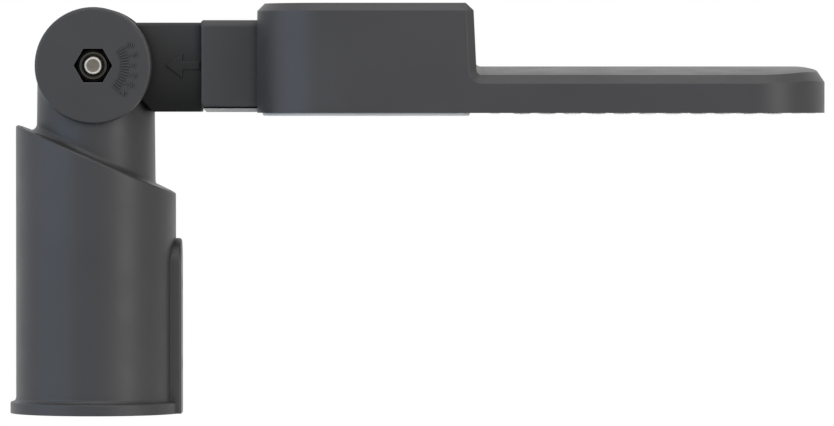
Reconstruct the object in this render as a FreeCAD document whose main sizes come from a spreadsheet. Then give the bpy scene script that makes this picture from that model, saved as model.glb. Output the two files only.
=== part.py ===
import FreeCAD, Part
import math
import os
import Sketcher

# LED street light on a tilting pole adaptor. Millimetres. The origin is the centre of the
# adaptor's mouth, where the pole goes in. +Z runs up the pole, +X out along the head.

SIZES = {
    "pole adaptor, cup": {
        "cup_radius": 42.0,
        "socket_radius": 39.0,
        "socket_depth": 100.0,
        "cup_rim_stand": 3.0,
        "cup_rim_height": 6.0,
        "cup_rim_round": 2.5,
        "shoulder_height": 133.5,
        "shoulder_slope": 23.4,
        "shoulder_wall": 4.0,
        "stop_ledge": 3.0,
        "lip_width": 2.2,
        "lip_round": 1.2,
        "groove_width": 1.2,
        "groove_depth": 0.8,
        "groove_round": 0.2,
        "rim_edge_round": 0.9,
    },
    "pole adaptor, screw pad": {
        "pad_half_width": 14.0,
        "pad_stand": 3.2,
        "pad_height": 91.8,
        "pad_round": 1.5,
        "pole_screw_radius": 4.0,
        "pole_screw_length": 6.0,
        "pole_screw_low": 26.0,
        "pole_screw_high": 68.0,
        "pole_screw_clearance": 0.06,
        "pole_screw_socket": 4.0,
        "pole_screw_socket_depth": 3.5,
        "pole_screw_point": 1.2,
    },
    "pole adaptor, neck and knuckle": {
        "neck_radius": 31.5,
        "neck_taper": 0.8,
        "neck_wall": 4.0,
        "neck_foot_round": 3.2,
        "cable_hole_radius": 16.0,
        "cradle_floor": 4.0,
        "pivot_height": 182.2,
        "cheek_radius": 30.5,
        "cheek_face": 34.0,
        "cheek_round": 1.8,
        "slot_half_width": 22.4,
        "cradle_radius": 27.0,
        "back_wall_reach": 23.5,
        "stop_gap": 0.3,
        "stop_reach": 31.0,
        "stop_angle": 45.5,
    },
    "knuckle teeth": {
        "teeth_inner_radius": 13.0,
        "teeth_outer_radius": 21.5,
        "tooth_width": 1.0,
        "tooth_depth": 0.6,
    },
    "knuckle bolt and nut": {
        "bolt_radius": 5.0,
        "bolt_clearance": 0.08,
        "bolt_end": 33.7,
        "bolt_end_chamfer": 1.0,
        "bolt_head_radius": 8.0,
        "bolt_head_height": 7.0,
        "bolt_socket": 7.0,
        "bolt_socket_depth": 3.5,
        "bolt_seat": 24.8,
        "washer_radius": 9.0,
        "washer_thickness": 1.6,
        "counterbore_radius": 9.6,
        "nut_pocket": 17.5,
        "nut_width": 17.0,
        "nut_hex_height": 5.6,
        "nut_collar_radius": 7.4,
        "nut_height": 7.8,
        "nut_ring_radius": 6.6,
        "nut_ring_height": 2.0,
    },
    "tilt arm": {
        "arm_half_width": 22.0,
        "arm_crown": 0.6,
        "eye_stand": 0.2,
        "arm_above_pivot": 22.5,
        "arm_below_pivot": 24.1,
        "arm_end": 55.8,
        "arm_wall": 4.5,
        "arm_round": 2.0,
        "eye_radius": 26.5,
        "bolt_boss_radius": 9.0,
        "spigot_top": 202.1,
        "spigot_bottom": 168.5,
        "spigot_half_width": 21.0,
        "spigot_end": 98.5,
        "spigot_round": 4.0,
        "wire_window_half_width": 12.0,
        "arrow_tip": 37.0,
        "arrow_back": 46.5,
        "arrow_half_height": 7.3,
        "arrow_shaft_half_height": 2.3,
        "arrow_relief": 0.7,
        "arrow_root": 1.4,
        "arrow_slope": 0.7,
    },
    "housing": {
        "collar_half_width": 26.0,
        "collar_top": 206.0,
        "collar_bottom": 159.9,
        "collar_round": 4.0,
        "collar_edge_round": 1.6,
        "spigot_clearance": 0.2,
        "head_back": 85.5,
        "head_length": 295.0,
        "head_half_width": 75.0,
        "plan_corner": 39.0,
        "rim_height": 157.6,
        "box_top": 214.4,
        "box_length": 112.1,
        "box_front_draft": 2.7,
        "box_foot_round": 2.8,
        "panel_ridge": 181.9,
        "panel_edge_drop": 5.2,
        "nose_length": 14.0,
        "nose_radius": 34.0,
        "bevel": 3.9,
        "wall": 3.0,
        "rebate_wall": 2.6,
        "ledge_width": 4.2,
        "spigot_screw_hole": 3.3,
        "spigot_head_hole": 5.6,
        "cover_ledge": 159.9,
        "lens_ledge": 162.2,
        "board_seat": 163.6,
        "lens_bay_start": 201.6,
        "screw_boss_radius": 5.0,
        "tray_boss_radius": 5.0,
        "tray_seat": 205.4,
        "bay_corner": 8.0,
    },
    "gear cover": {
        "cover_face": 156.1,
        "cover_thickness": 2.3,
        "cover_gap": 0.3,
        "cover_edge_round": 0.8,
        "cover_rib_height": 4.0,
        "cover_rib_width": 2.0,
        "gasket_thickness": 1.5,
        "gasket_width": 3.6,
        "gasket_setback": 0.2,
        "cover_screw_radius": 2.0,
        "cover_screw_head_radius": 4.0,
        "cover_screw_head_height": 1.6,
        "cover_screw_length": 16.0,
        "cover_screw_inset": 7.6,
        "screw_clearance": 0.2,
        "vent_radius": 5.0,
        "vent_flange_radius": 8.0,
        "vent_flange_thickness": 1.2,
        "vent_depth": 6.0,
        "vent_across": 40.0,
    },
    "collar cover": {
        "strip_start": 57.2,
        "strip_face": 158.0,
        "strip_half_width": 24.5,
        "strip_chamfer": 1.6,
        "strip_screw_radius": 1.5,
        "strip_screw_head_radius": 2.8,
        "strip_screw_length": 6.0,
        "strip_screw_across": 17.5,
    },
    "spigot screws": {
        "spigot_screw_radius": 3.0,
        "spigot_screw_head_radius": 5.0,
        "spigot_screw_head_height": 5.6,
        "spigot_screw_length": 9.0,
        "spigot_screw_socket": 5.0,
        "spigot_screw_first": 65.5,
        "spigot_screw_pitch": 12.0,
    },
    "lamp optics": {
        "lens_pitch": 13.0,
        "lens_margin": 9.0,
        "lens_foot_radius": 5.4,
        "lens_top_radius": 3.2,
        "lens_height": 1.7,
        "lens_plate_face": 158.2,
        "lens_plate_thickness": 2.5,
        "lens_plate_gap": 0.4,
        "lens_first": 222.9,
        "lens_ledge_width": 9.0,
        "lens_seal_width": 2.2,
        "lens_screw_radius": 1.5,
        "lens_screw_head_radius": 3.0,
        "lens_screw_head_height": 1.8,
        "lens_screw_length": 8.0,
        "lens_screw_inset": 3.6,
        "lens_screw_pitch": 40.0,
        "board_thickness": 1.6,
        "led_side": 3.5,
        "led_height": 1.0,
    },
    "gear tray and its load": {
        "tray_thickness": 1.5,
        "tray_gap": 5.0,
        "tray_side_gap": 10.2,
        "tray_corner": 26.0,
        "tray_screw_radius": 2.0,
        "tray_screw_head_radius": 3.8,
        "tray_screw_head_height": 2.2,
        "load_screw_head_radius": 3.2,
        "tray_screw_length": 5.0,
        "tray_screw_inset": 6.5,
        "driver_length": 60.0,
        "driver_width": 26.0,
        "driver_height": 24.0,
        "driver_side_gap": 9.8,
        "driver_end_gap": 10.0,
        "driver_ear": 6.6,
        "driver_ear_thickness": 2.0,
        "driver_edge_round": 2.5,
        "terminal_length": 32.0,
        "terminal_width": 18.0,
        "terminal_height": 16.0,
        "terminal_gap": 4.0,
        "terminal_well_radius": 2.2,
        "terminal_well_depth": 5.0,
        "surge_length": 46.0,
        "surge_width": 22.0,
        "surge_height": 26.0,
        "surge_end_gap": 10.0,
        "surge_side_gap": 2.0,
        "surge_round": 3.0,
        "clamp_length": 10.0,
        "clamp_bore_radius": 4.5,
        "clamp_wall": 2.0,
        "clamp_foot": 6.4,
        "clamp_gap": 9.5,
        "clamp_offset": 4.0,
        "earth_head_width": 8.0,
        "earth_head_height": 3.5,
        "earth_from_start": 20.5,
        "earth_from_side": 18.5,
    },
    "glands": {
        "gland_radius": 8.0,
        "gland_hex": 22.0,
        "gland_hex_length": 5.0,
        "gland_dome_radius": 9.5,
        "gland_length": 15.0,
        "gland_bore_radius": 4.5,
        "lead_hole_radius": 4.0,
        "lead_hole_height": 168.5,
        "lead_drop": 213.0,
        "lead_across": 40.0,
        "grommet_lip": 1.8,
        "grommet_bore_radius": 2.2,
    },
}

LENS_COLUMNS = 11
LENS_ROWS = 6
LENS_SIDE_SCREWS = 4
TERMINAL_WAYS = 4
TEETH = 72
NOSE_TURN = 60

doc = FreeCAD.newDocument("street_light")
sheet = doc.addObject("Spreadsheet::Sheet", "sizes")
pieces = []


def fill_sheet():
    """Writes every driving dimension into the sheet, one row each, with its alias."""
    row = 1
    for heading, group in SIZES.items():
        sheet.set("A%d" % row, heading)
        row += 1
        for alias, number in group.items():
            sheet.set("A%d" % row, alias.replace("_", " "))
            sheet.set("B%d" % row, repr(number))
            sheet.setAlias("B%d" % row, alias)
            row += 1
    doc.recompute()


class Size:
    """A number together with the sheet expression that gives it."""

    def __init__(self, value, text):
        self.value = float(value)
        self.text = text

    def joined(self, sign, other, value):
        return Size(value, "(%s %s %s)" % (self.text, sign, other.text))

    def __add__(self, other):
        other = as_size(other)
        return self.joined("+", other, self.value + other.value)

    def __sub__(self, other):
        other = as_size(other)
        return self.joined("-", other, self.value - other.value)

    def __mul__(self, other):
        other = as_size(other)
        return self.joined("*", other, self.value * other.value)

    def __truediv__(self, other):
        other = as_size(other)
        return self.joined("/", other, self.value / other.value)

    def __neg__(self):
        return Size(-self.value, "(0 - %s)" % self.text)

    def __radd__(self, other):
        return as_size(other) + self

    def __rsub__(self, other):
        return as_size(other) - self

    def __rmul__(self, other):
        return as_size(other) * self


def as_size(number):
    return number if isinstance(number, Size) else Size(number, repr(float(number)))


def sine(angle):
    return Size(math.sin(math.radians(angle.value)), "sin(%s)" % angle.text)


def cosine(angle):
    return Size(math.cos(math.radians(angle.value)), "cos(%s)" % angle.text)


class SheetSizes:
    """The sheet's cells by name: S.cup_radius is the Size of that cell."""

    def __getattr__(self, alias):
        return Size(sheet.get(alias), "sizes." + alias)


fill_sheet()
S = SheetSizes()
ZERO = as_size(0)


def vector(x, y, z):
    return FreeCAD.Vector(as_size(x).value, as_size(y).value, as_size(z).value)


def bind(thing, **sizes):
    for name, size in sizes.items():
        thing.setExpression(name, as_size(size).text)


def place(thing, x=ZERO, y=ZERO, z=ZERO, axis=None, angle=None):
    """Puts a primitive at a point of the sheet, turned about one axis first."""
    if axis is not None:
        turn = FreeCAD.Rotation(FreeCAD.Vector(*axis), as_size(angle).value)
        thing.Placement = FreeCAD.Placement(FreeCAD.Vector(), turn)
        if as_size(angle).text.startswith("sizes"):
            thing.setExpression("Placement.Rotation.Angle", angle.text)
    for letter, size in (("x", x), ("y", y), ("z", z)):
        thing.setExpression("Placement.Base." + letter, as_size(size).text)


# Sketches

def origin_plane(body, role):
    for feature in body.Origin.OriginFeatures:
        if feature.Role == role:
            return feature
    raise RuntimeError("no plane " + role)


def new_sketch(body, name, role, offset=ZERO, lift=ZERO):
    """Sketch on a plane of the body, moved along its normal and up within itself."""
    sketch = body.newObject("Sketcher::SketchObject", name)
    sketch.AttachmentSupport = [(origin_plane(body, role), "")]
    sketch.MapMode = "FlatFace"
    sketch.setExpression("AttachmentOffset.Base.z", as_size(offset).text)
    sketch.setExpression("AttachmentOffset.Base.y", as_size(lift).text)
    return sketch


def constrain(sketch, kind, *place_and_value):
    """Adds a constraint whose last value is a Size, and binds it to the sheet."""
    size = place_and_value[-1]
    entry = Sketcher.Constraint(kind, *place_and_value[:-1], size.value)
    index = sketch.addConstraint(entry)
    sketch.setExpression("Constraints[%d]" % index, size.text)


def pin(sketch, geometry, end, x, y):
    """Holds one end of a line or arc at a distance across and up from the origin."""
    for kind, size, axis in (("DistanceX", as_size(x), -2), ("DistanceY", as_size(y), -1)):
        if abs(size.value) < 1e-9:
            sketch.addConstraint(Sketcher.Constraint("PointOnObject", geometry, end, axis))
        elif size.value > 0:
            constrain(sketch, kind, -1, 1, geometry, end, size)
        else:
            constrain(sketch, kind, geometry, end, -1, 1, -size)


def arc_centre(start, end, radius):
    """Centre of the short arc from start to end, on its left for a positive radius."""
    middle = (start + end) * 0.5
    along = end - start
    across = FreeCAD.Vector(-along.y, along.x, 0).normalize()
    reach = math.sqrt(max(radius ** 2 - (along.Length / 2) ** 2, 0))
    return middle + across * math.copysign(reach, radius)


def outline(sketch, corners, arcs=None):
    """Closed outline through the corners. A run named in arcs, by the index of the corner
    it leaves from, is an arc of that radius, turning left where the radius is positive."""
    arcs = arcs or {}
    runs = []
    points = [FreeCAD.Vector(as_size(x).value, as_size(y).value, 0) for x, y in corners]
    for i, start in enumerate(points):
        end = points[(i + 1) % len(points)]
        if i not in arcs:
            geometry = sketch.addGeometry(Part.LineSegment(start, end))
            runs.append((geometry, 1, 2))
            continue
        radius = as_size(arcs[i])
        circle = Part.Circle(arc_centre(start, end, radius.value),
                             FreeCAD.Vector(0, 0, 1), abs(radius.value))
        first, last = (start, end) if radius.value > 0 else (end, start)
        begin = circle.parameter(first)
        finish = circle.parameter(last)
        if finish <= begin:
            finish += 2 * math.pi
        geometry = sketch.addGeometry(Part.ArcOfCircle(circle, begin, finish))
        runs.append((geometry, 1, 2) if radius.value > 0 else (geometry, 2, 1))
        constrain(sketch, "Radius", geometry, radius if radius.value > 0 else -radius)
    for i, (x, y) in enumerate(corners):
        geometry, first, last = runs[i]
        before, unused, joined = runs[i - 1]
        sketch.addConstraint(Sketcher.Constraint("Coincident", before, joined, geometry, first))
        pin(sketch, geometry, first, x, y)
    return sketch


def circle(sketch, x, y, radius):
    centre = vector(x, y, 0)
    ring = Part.Circle(centre, FreeCAD.Vector(0, 0, 1), as_size(radius).value)
    geometry = sketch.addGeometry(ring)
    constrain(sketch, "Radius", geometry, as_size(radius))
    pin(sketch, geometry, 3, x, y)
    return sketch


def rounded_box(sketch, low_x, high_x, half_width, back_corner, front_corner):
    """Rectangle across the centre line whose back and front corners are rounded."""
    corners = [(low_x + back_corner, -half_width), (high_x - front_corner, -half_width),
               (high_x, front_corner - half_width), (high_x, half_width - front_corner),
               (high_x - front_corner, half_width), (low_x + back_corner, half_width),
               (low_x, half_width - back_corner), (low_x, back_corner - half_width)]
    arcs = {1: front_corner, 3: front_corner, 5: back_corner, 7: back_corner}
    return outline(sketch, corners, arcs)


def hexagon(sketch, x, y, across_flats):
    """Hexagon with two corners level with its centre."""
    reach = across_flats / 3.0 ** 0.5
    half = across_flats / 2
    corners = [(x + reach, y), (x + reach / 2, y + half), (x - reach / 2, y + half),
               (x - reach, y), (x - reach / 2, y - half), (x + reach / 2, y - half)]
    return outline(sketch, corners)


# Features

def new_body(label):
    body = doc.addObject("PartDesign::Body", label)
    body.Label = label
    pieces.append(body)
    return body


def is_failed(feature):
    return bool({"Invalid", "Error"} & set(feature.State))


def settle(body, feature, before, sign):
    """Recomputes and makes sure that the feature added or removed material."""
    doc.recompute()
    if is_failed(feature):
        raise RuntimeError("%s failed" % feature.Name)
    change = (feature.Shape.Volume - before) * sign
    if not feature.Shape.isValid() or change <= 0:
        raise RuntimeError("%s changed the volume by %.3f" % (feature.Name, change * sign))
    body.Tip = feature
    return feature


def volume_of(body):
    return body.Tip.Shape.Volume if body.Tip else 0.0


def extrude(body, kind, sketch, length, reverse, both, sign, taper=None):
    before = volume_of(body)
    feature = body.newObject("PartDesign::" + kind, sketch.Name + "_" + kind.lower())
    feature.Profile = sketch
    feature.Refine = kind == "Pad" or not body.Tip
    feature.Reversed = reverse
    if both:
        feature.SideType = "Symmetric"
    bind(feature, Length=length)
    if taper is not None:
        bind(feature, TaperAngle=taper)
    return settle(body, feature, before, sign)


def pad(body, sketch, length, reverse=False, both=False, taper=None):
    return extrude(body, "Pad", sketch, length, reverse, both, 1, taper)


def pocket(body, sketch, length, reverse=False, both=False, taper=None):
    return extrude(body, "Pocket", sketch, length, reverse, both, -1, taper)


def round_sketch(body, name, level, radius, places):
    """Sketch of equal circles at named places, level with the ground plane."""
    sketch = new_sketch(body, name, "XY_Plane", level)
    for unused, x, y in places:
        circle(sketch, x, y, radius)
    return sketch


def drill(body, name, level, depth, radius, places):
    """Equal round holes that run up from one level."""
    return pocket(body, round_sketch(body, name, level, radius, places), depth, reverse=True)


def raise_bosses(body, name, level, height, radius, places):
    return pad(body, round_sketch(body, name, level, radius, places), height)


def revolve(body, sketch, axis="V_Axis", angle=360):
    before = volume_of(body)
    feature = body.newObject("PartDesign::Revolution", sketch.Name + "_turned")
    feature.Profile = sketch
    feature.ReferenceAxis = (sketch, [axis])
    feature.Angle = angle
    return settle(body, feature, before, 1)


def primitive(body, kind, name, sizes, where, sign):
    """A box, cylinder or cone that is added to the body or taken from it."""
    before = volume_of(body)
    feature = body.newObject("PartDesign::" + kind, name)
    feature.Refine = False
    bind(feature, **sizes)
    place(feature, **where)
    return settle(body, feature, before, sign)


def add_cylinder(body, name, radius, height, **where):
    sizes = {"Radius": radius, "Height": height}
    return primitive(body, "AdditiveCylinder", name, sizes, where, 1)


def cut_cylinder(body, name, radius, height, **where):
    sizes = {"Radius": radius, "Height": height}
    return primitive(body, "SubtractiveCylinder", name, sizes, where, -1)


def add_box(body, name, length, width, height, **where):
    sizes = {"Length": length, "Width": width, "Height": height}
    return primitive(body, "AdditiveBox", name, sizes, where, 1)


def cut_box(body, name, length, width, height, **where):
    sizes = {"Length": length, "Width": width, "Height": height}
    return primitive(body, "SubtractiveBox", name, sizes, where, -1)


def edge_names(shape, test):
    return ["Edge%d" % (i + 1) for i, edge in enumerate(shape.Edges) if test(edge)]


def dress(body, kind, name, size_name, size, test):
    """Fillet or chamfer on the edges of the body's tip that the test picks."""
    base = body.Tip
    names = edge_names(base.Shape, test)
    if not names:
        raise RuntimeError("no edge for " + name)
    feature = body.newObject("PartDesign::" + kind, name)
    feature.Base = (base, names)
    bind(feature, **{size_name: size})
    doc.recompute()
    if is_failed(feature) or not feature.Shape.isValid():
        raise RuntimeError(name + " failed")
    body.Tip = feature
    return feature


def fillet(body, name, radius, test):
    return dress(body, "Fillet", name, "Radius", radius, test)


def chamfer(body, name, size, test):
    return dress(body, "Chamfer", name, "Size", size, test)


def near(a, b, slack=0.02):
    return abs(a - as_size(b).value) < slack


def flat_at(edge, axis, level):
    """True where the whole edge lies at one level of x, y or z."""
    low = getattr(edge.BoundBox, axis.upper() + "Min")
    high = getattr(edge.BoundBox, axis.upper() + "Max")
    return near(low, level) and near(high, level)


# Pole adaptor: one casting with the cup for the pole, the screw pad, the hollow neck and
# the two cheeks of the knuckle.

def oblique_box(body, kind, name, level, above):
    """Box on one side of the slanted shoulder plane, which meets the axis at the level."""
    span = S.cup_radius * 4
    angle = S.shoulder_slope
    depth = S.pivot_height
    sizes = {"Length": span, "Width": span, "Height": depth}
    sink = ZERO if above else depth
    where = {
        "x": -(span / 2 * cosine(angle)) - sink * sine(angle),
        "y": -span / 2,
        "z": level + span / 2 * sine(angle) - sink * cosine(angle),
        "axis": (0, 1, 0),
        "angle": angle,
    }
    return primitive(body, kind, name, sizes, where, -1)


def cutter_body(name, radius, bottom, top):
    """Round body, kept out of the pieces, that a boolean takes away from another."""
    body = doc.addObject("PartDesign::Body", name)
    add_cylinder(body, name + "_core", radius, top - bottom, z=bottom)
    return body


def subtract(body, name, tool):
    before = volume_of(body)
    feature = body.newObject("PartDesign::Boolean", name)
    feature.Type = "Cut"
    feature.setObjects([tool])
    return settle(body, feature, before, -1)


def arm_bottom():
    return S.pivot_height - S.arm_below_pivot


def stop_line_x(level, gap):
    """Where the slanted stop between neck and arm stands at a height."""
    rise = level - arm_bottom()
    return S.stop_reach + gap - rise * cosine(S.stop_angle) / sine(S.stop_angle)


def cup_rim_radius():
    return S.cup_radius + S.cup_rim_stand


def pad_reach():
    return S.cup_radius + S.pad_stand


def make_pole_adaptor():
    body = new_body("pole_adaptor")
    top = S.shoulder_height + S.cup_radius * sine(S.shoulder_slope) / cosine(S.shoulder_slope)
    rim = S.cup_rim_height
    swell = S.cup_rim_round
    sketch = new_sketch(body, "cup_outline", "XZ_Plane")
    outline(sketch, [
        (0, 0),
        (cup_rim_radius(), 0),
        (cup_rim_radius(), rim),
        (S.cup_radius + swell, rim),
        (S.cup_radius, rim + swell),
        (S.cup_radius, top),
        (0, top),
    ], {3: -swell})
    revolve(body, sketch)
    fillet(body, "rim_round", S.rim_edge_round,
           lambda e: flat_at(e, "z", rim) and near(e.BoundBox.XMax, cup_rim_radius()))
    oblique_box(body, "SubtractiveBox", "slanted_top", S.shoulder_height, True)

    outer = S.cup_radius - S.lip_width
    inner = outer - S.groove_width
    groove = cutter_body("lip_groove", outer, S.socket_depth, top)
    cut_cylinder(groove, "groove_core", inner, top - S.socket_depth, z=S.socket_depth)
    oblique_box(groove, "SubtractiveBox", "groove_floor",
                S.shoulder_height - S.groove_depth, False)
    subtract(body, "groove", groove)
    fillet(body, "lip_outside", S.lip_round, lambda e: is_lip_edge(e, S.cup_radius))
    fillet(body, "groove_edges", S.groove_round,
           lambda e: is_lip_edge(e, outer) or is_lip_edge(e, inner))

    sketch = new_sketch(body, "screw_pad_outline", "YZ_Plane", S.socket_radius)
    bend = S.pad_height - S.pad_half_width
    outline(sketch, [
        (-S.pad_half_width, 0),
        (S.pad_half_width, 0),
        (S.pad_half_width, bend),
        (0, S.pad_height),
        (-S.pad_half_width, bend),
    ], {2: S.pad_half_width, 3: S.pad_half_width})
    pad(body, sketch, pad_reach() - S.socket_radius)
    fillet(body, "screw_pad_round", S.pad_round,
           lambda e: flat_at(e, "x", pad_reach()) and e.BoundBox.ZMax > S.pad_round.value)

    foot = S.socket_depth + S.stop_ledge
    sizes = {"Radius1": S.neck_radius, "Radius2": S.neck_radius - S.neck_taper,
             "Height": S.pivot_height - foot}
    primitive(body, "AdditiveCone", "neck", sizes, {"z": foot}, 1)
    fillet(body, "neck_foot", S.neck_foot_round, is_neck_foot)

    along_y = {"z": S.pivot_height, "axis": (1, 0, 0), "angle": 90}
    add_cylinder(body, "knuckle", S.cheek_radius, S.cheek_face * 2, y=S.cheek_face, **along_y)
    fillet(body, "cheek_rounds", S.cheek_round,
           lambda e: flat_at(e, "y", S.cheek_face) or flat_at(e, "y", -S.cheek_face))
    cut_cylinder(body, "cradle", S.cradle_radius, S.slot_half_width * 2,
                 y=S.slot_half_width, **along_y)
    sketch = new_sketch(body, "arm_slot_outline", "XZ_Plane")
    reach = cup_rim_radius()
    roof = S.pivot_height + S.cheek_radius + S.cheek_face
    outline(sketch, [
        (-S.back_wall_reach, S.pivot_height),
        (stop_line_x(S.pivot_height, ZERO), S.pivot_height),
        (stop_line_x(arm_bottom(), ZERO), arm_bottom()),
        (reach, arm_bottom()),
        (reach, roof),
        (-S.back_wall_reach, roof),
    ])
    pocket(body, sketch, S.slot_half_width * 2, both=True)

    hollow = S.socket_radius - S.stop_ledge
    roof_void = cutter_body("shoulder_void", hollow, S.socket_depth, top)
    oblique_box(roof_void, "SubtractiveBox", "void_roof",
                S.shoulder_height - S.groove_depth - S.shoulder_wall, True)
    subtract(body, "under_the_shoulder", roof_void)
    ceiling = S.pivot_height - S.cradle_radius - S.cradle_floor
    cut_cylinder(body, "neck_bore", S.neck_radius - S.neck_wall, ceiling - S.socket_depth,
                 z=S.socket_depth)
    cut_cylinder(body, "cable_hole", S.cable_hole_radius, S.cradle_radius, z=ceiling)
    cut_cylinder(body, "socket", S.socket_radius, S.socket_depth)

    for name, level in (("low", S.pole_screw_low), ("high", S.pole_screw_high)):
        cut_cylinder(body, "pole_screw_hole_" + name, S.pole_screw_radius +
                     S.pole_screw_clearance, pad_reach(), z=level, axis=(0, 1, 0), angle=90)
    cut_cylinder(body, "bolt_hole", S.bolt_radius + S.bolt_clearance, S.cheek_face * 2,
                 y=S.cheek_face, **along_y)
    cut_cylinder(body, "head_counterbore", S.counterbore_radius, S.cheek_face - S.bolt_seat,
                 y=S.cheek_face, **along_y)
    sketch = new_sketch(body, "nut_pocket_outline", "XZ_Plane", S.cheek_face)
    hexagon(sketch, ZERO, S.pivot_height, S.nut_pocket)
    pocket(body, sketch, S.cheek_face - S.bolt_seat)
    cut_teeth(body, "cheek_teeth", S.slot_half_width, S.slot_half_width + S.tooth_depth)


def cut_teeth(body, name, face, bottom):
    """Ring of radial grooves in both faces of the knuckle, which hold the tilt in steps."""
    sketch = new_sketch(body, name, "YZ_Plane", S.teeth_inner_radius)
    half = S.tooth_width / 2
    for side in (1, -1):
        outline(sketch, [
            (side * face, S.pivot_height - half),
            (side * bottom, S.pivot_height),
            (side * face, S.pivot_height + half),
        ])
    first = pocket(body, sketch, S.teeth_outer_radius - S.teeth_inner_radius, reverse=True)
    hub = new_sketch(body, name + "_hub", "XZ_Plane", lift=S.pivot_height)
    before = volume_of(body)
    ring = body.newObject("PartDesign::PolarPattern", name + "_ring")
    ring.Originals = [first]
    ring.Axis = (hub, ["N_Axis"])
    ring.Angle = 360
    ring.Occurrences = TEETH
    settle(body, ring, before, -1)


def is_lip_edge(edge, radius):
    """A rim of the raised lip, which lies on the slanted plane."""
    slope = math.tan(math.radians(S.shoulder_slope.value))
    for vertex in edge.discretize(5):
        level = S.shoulder_height.value - slope * vertex.x
        if not near(vertex.z, level) or not near(math.hypot(vertex.x, vertex.y), radius):
            return False
    return True


def is_neck_foot(edge):
    """The slanted ring where the neck rises out of the shoulder."""
    slope = math.tan(math.radians(S.shoulder_slope.value))
    for vertex in edge.discretize(5):
        if not near(vertex.z, S.shoulder_height.value - slope * vertex.x):
            return False
        if math.hypot(vertex.x, vertex.y) > S.neck_radius.value:
            return False
    return True


# Knuckle bolt, washer and locking nut, on the tilt axis.

def along_knuckle(y):
    """Placement of a cylinder that runs from a height of y towards -Y."""
    return {"y": y, "z": S.pivot_height, "axis": (1, 0, 0), "angle": 90}


def make_knuckle_bolt():
    body = new_body("knuckle_bolt")
    under_head = S.bolt_seat + S.washer_thickness
    add_cylinder(body, "bolt_head", S.bolt_head_radius, S.bolt_head_height,
                 **along_knuckle(under_head + S.bolt_head_height))
    add_cylinder(body, "bolt_shank", S.bolt_radius, under_head + S.bolt_end,
                 **along_knuckle(under_head))
    chamfer(body, "bolt_tip", S.bolt_end_chamfer, lambda e: flat_at(e, "y", -S.bolt_end))
    top = under_head + S.bolt_head_height
    chamfer(body, "bolt_head_edge", S.bolt_end_chamfer / 2, lambda e: flat_at(e, "y", top))
    sketch = new_sketch(body, "bolt_socket_outline", "XZ_Plane", -top)
    hexagon(sketch, ZERO, S.pivot_height, S.bolt_socket)
    pocket(body, sketch, S.bolt_socket_depth, reverse=True)


def make_knuckle_washer():
    body = new_body("knuckle_washer")
    face = S.bolt_seat + S.washer_thickness
    add_cylinder(body, "washer_disc", S.washer_radius, S.washer_thickness,
                 **along_knuckle(face))
    cut_cylinder(body, "washer_hole", S.bolt_radius, S.washer_thickness,
                 **along_knuckle(face))


def make_knuckle_nut():
    body = new_body("knuckle_nut")
    end = S.bolt_seat + S.nut_height
    sketch = new_sketch(body, "nut_hexagon", "XZ_Plane", S.bolt_seat)
    hexagon(sketch, ZERO, S.pivot_height, S.nut_width)
    pad(body, sketch, S.nut_hex_height)
    add_cylinder(body, "nut_collar", S.nut_collar_radius, S.nut_height,
                 **along_knuckle(-S.bolt_seat))
    cut_cylinder(body, "nut_thread", S.bolt_radius, S.nut_height,
                 **along_knuckle(-S.bolt_seat))
    cut_cylinder(body, "ring_seat", S.nut_ring_radius, S.nut_ring_height,
                 **along_knuckle(S.nut_ring_height - end))


def make_nut_locking_ring():
    body = new_body("nut_locking_ring")
    start = S.nut_ring_height - S.bolt_seat - S.nut_height
    add_cylinder(body, "ring", S.nut_ring_radius, S.nut_ring_height, **along_knuckle(start))
    cut_cylinder(body, "ring_hole", S.bolt_radius, S.nut_ring_height, **along_knuckle(start))


def make_pole_screw(label, level):
    """Set screw in the screw pad, flush with it outside and clear of the socket."""
    body = new_body(label)
    along_x = {"z": level, "axis": (0, 1, 0), "angle": 90}
    start = pad_reach() - S.pole_screw_length
    add_cylinder(body, label + "_thread", S.pole_screw_radius, S.pole_screw_length,
                 x=start, **along_x)
    chamfer(body, label + "_point", S.pole_screw_point, lambda e: flat_at(e, "x", start))
    sketch = new_sketch(body, label + "_socket", "YZ_Plane", pad_reach())
    hexagon(sketch, ZERO, level, S.pole_screw_socket)
    pocket(body, sketch, S.pole_screw_socket_depth)


# Tilt arm: a hollow black casting whose eye turns between the cheeks. Its spigot goes into
# the collar of the housing.

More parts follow.
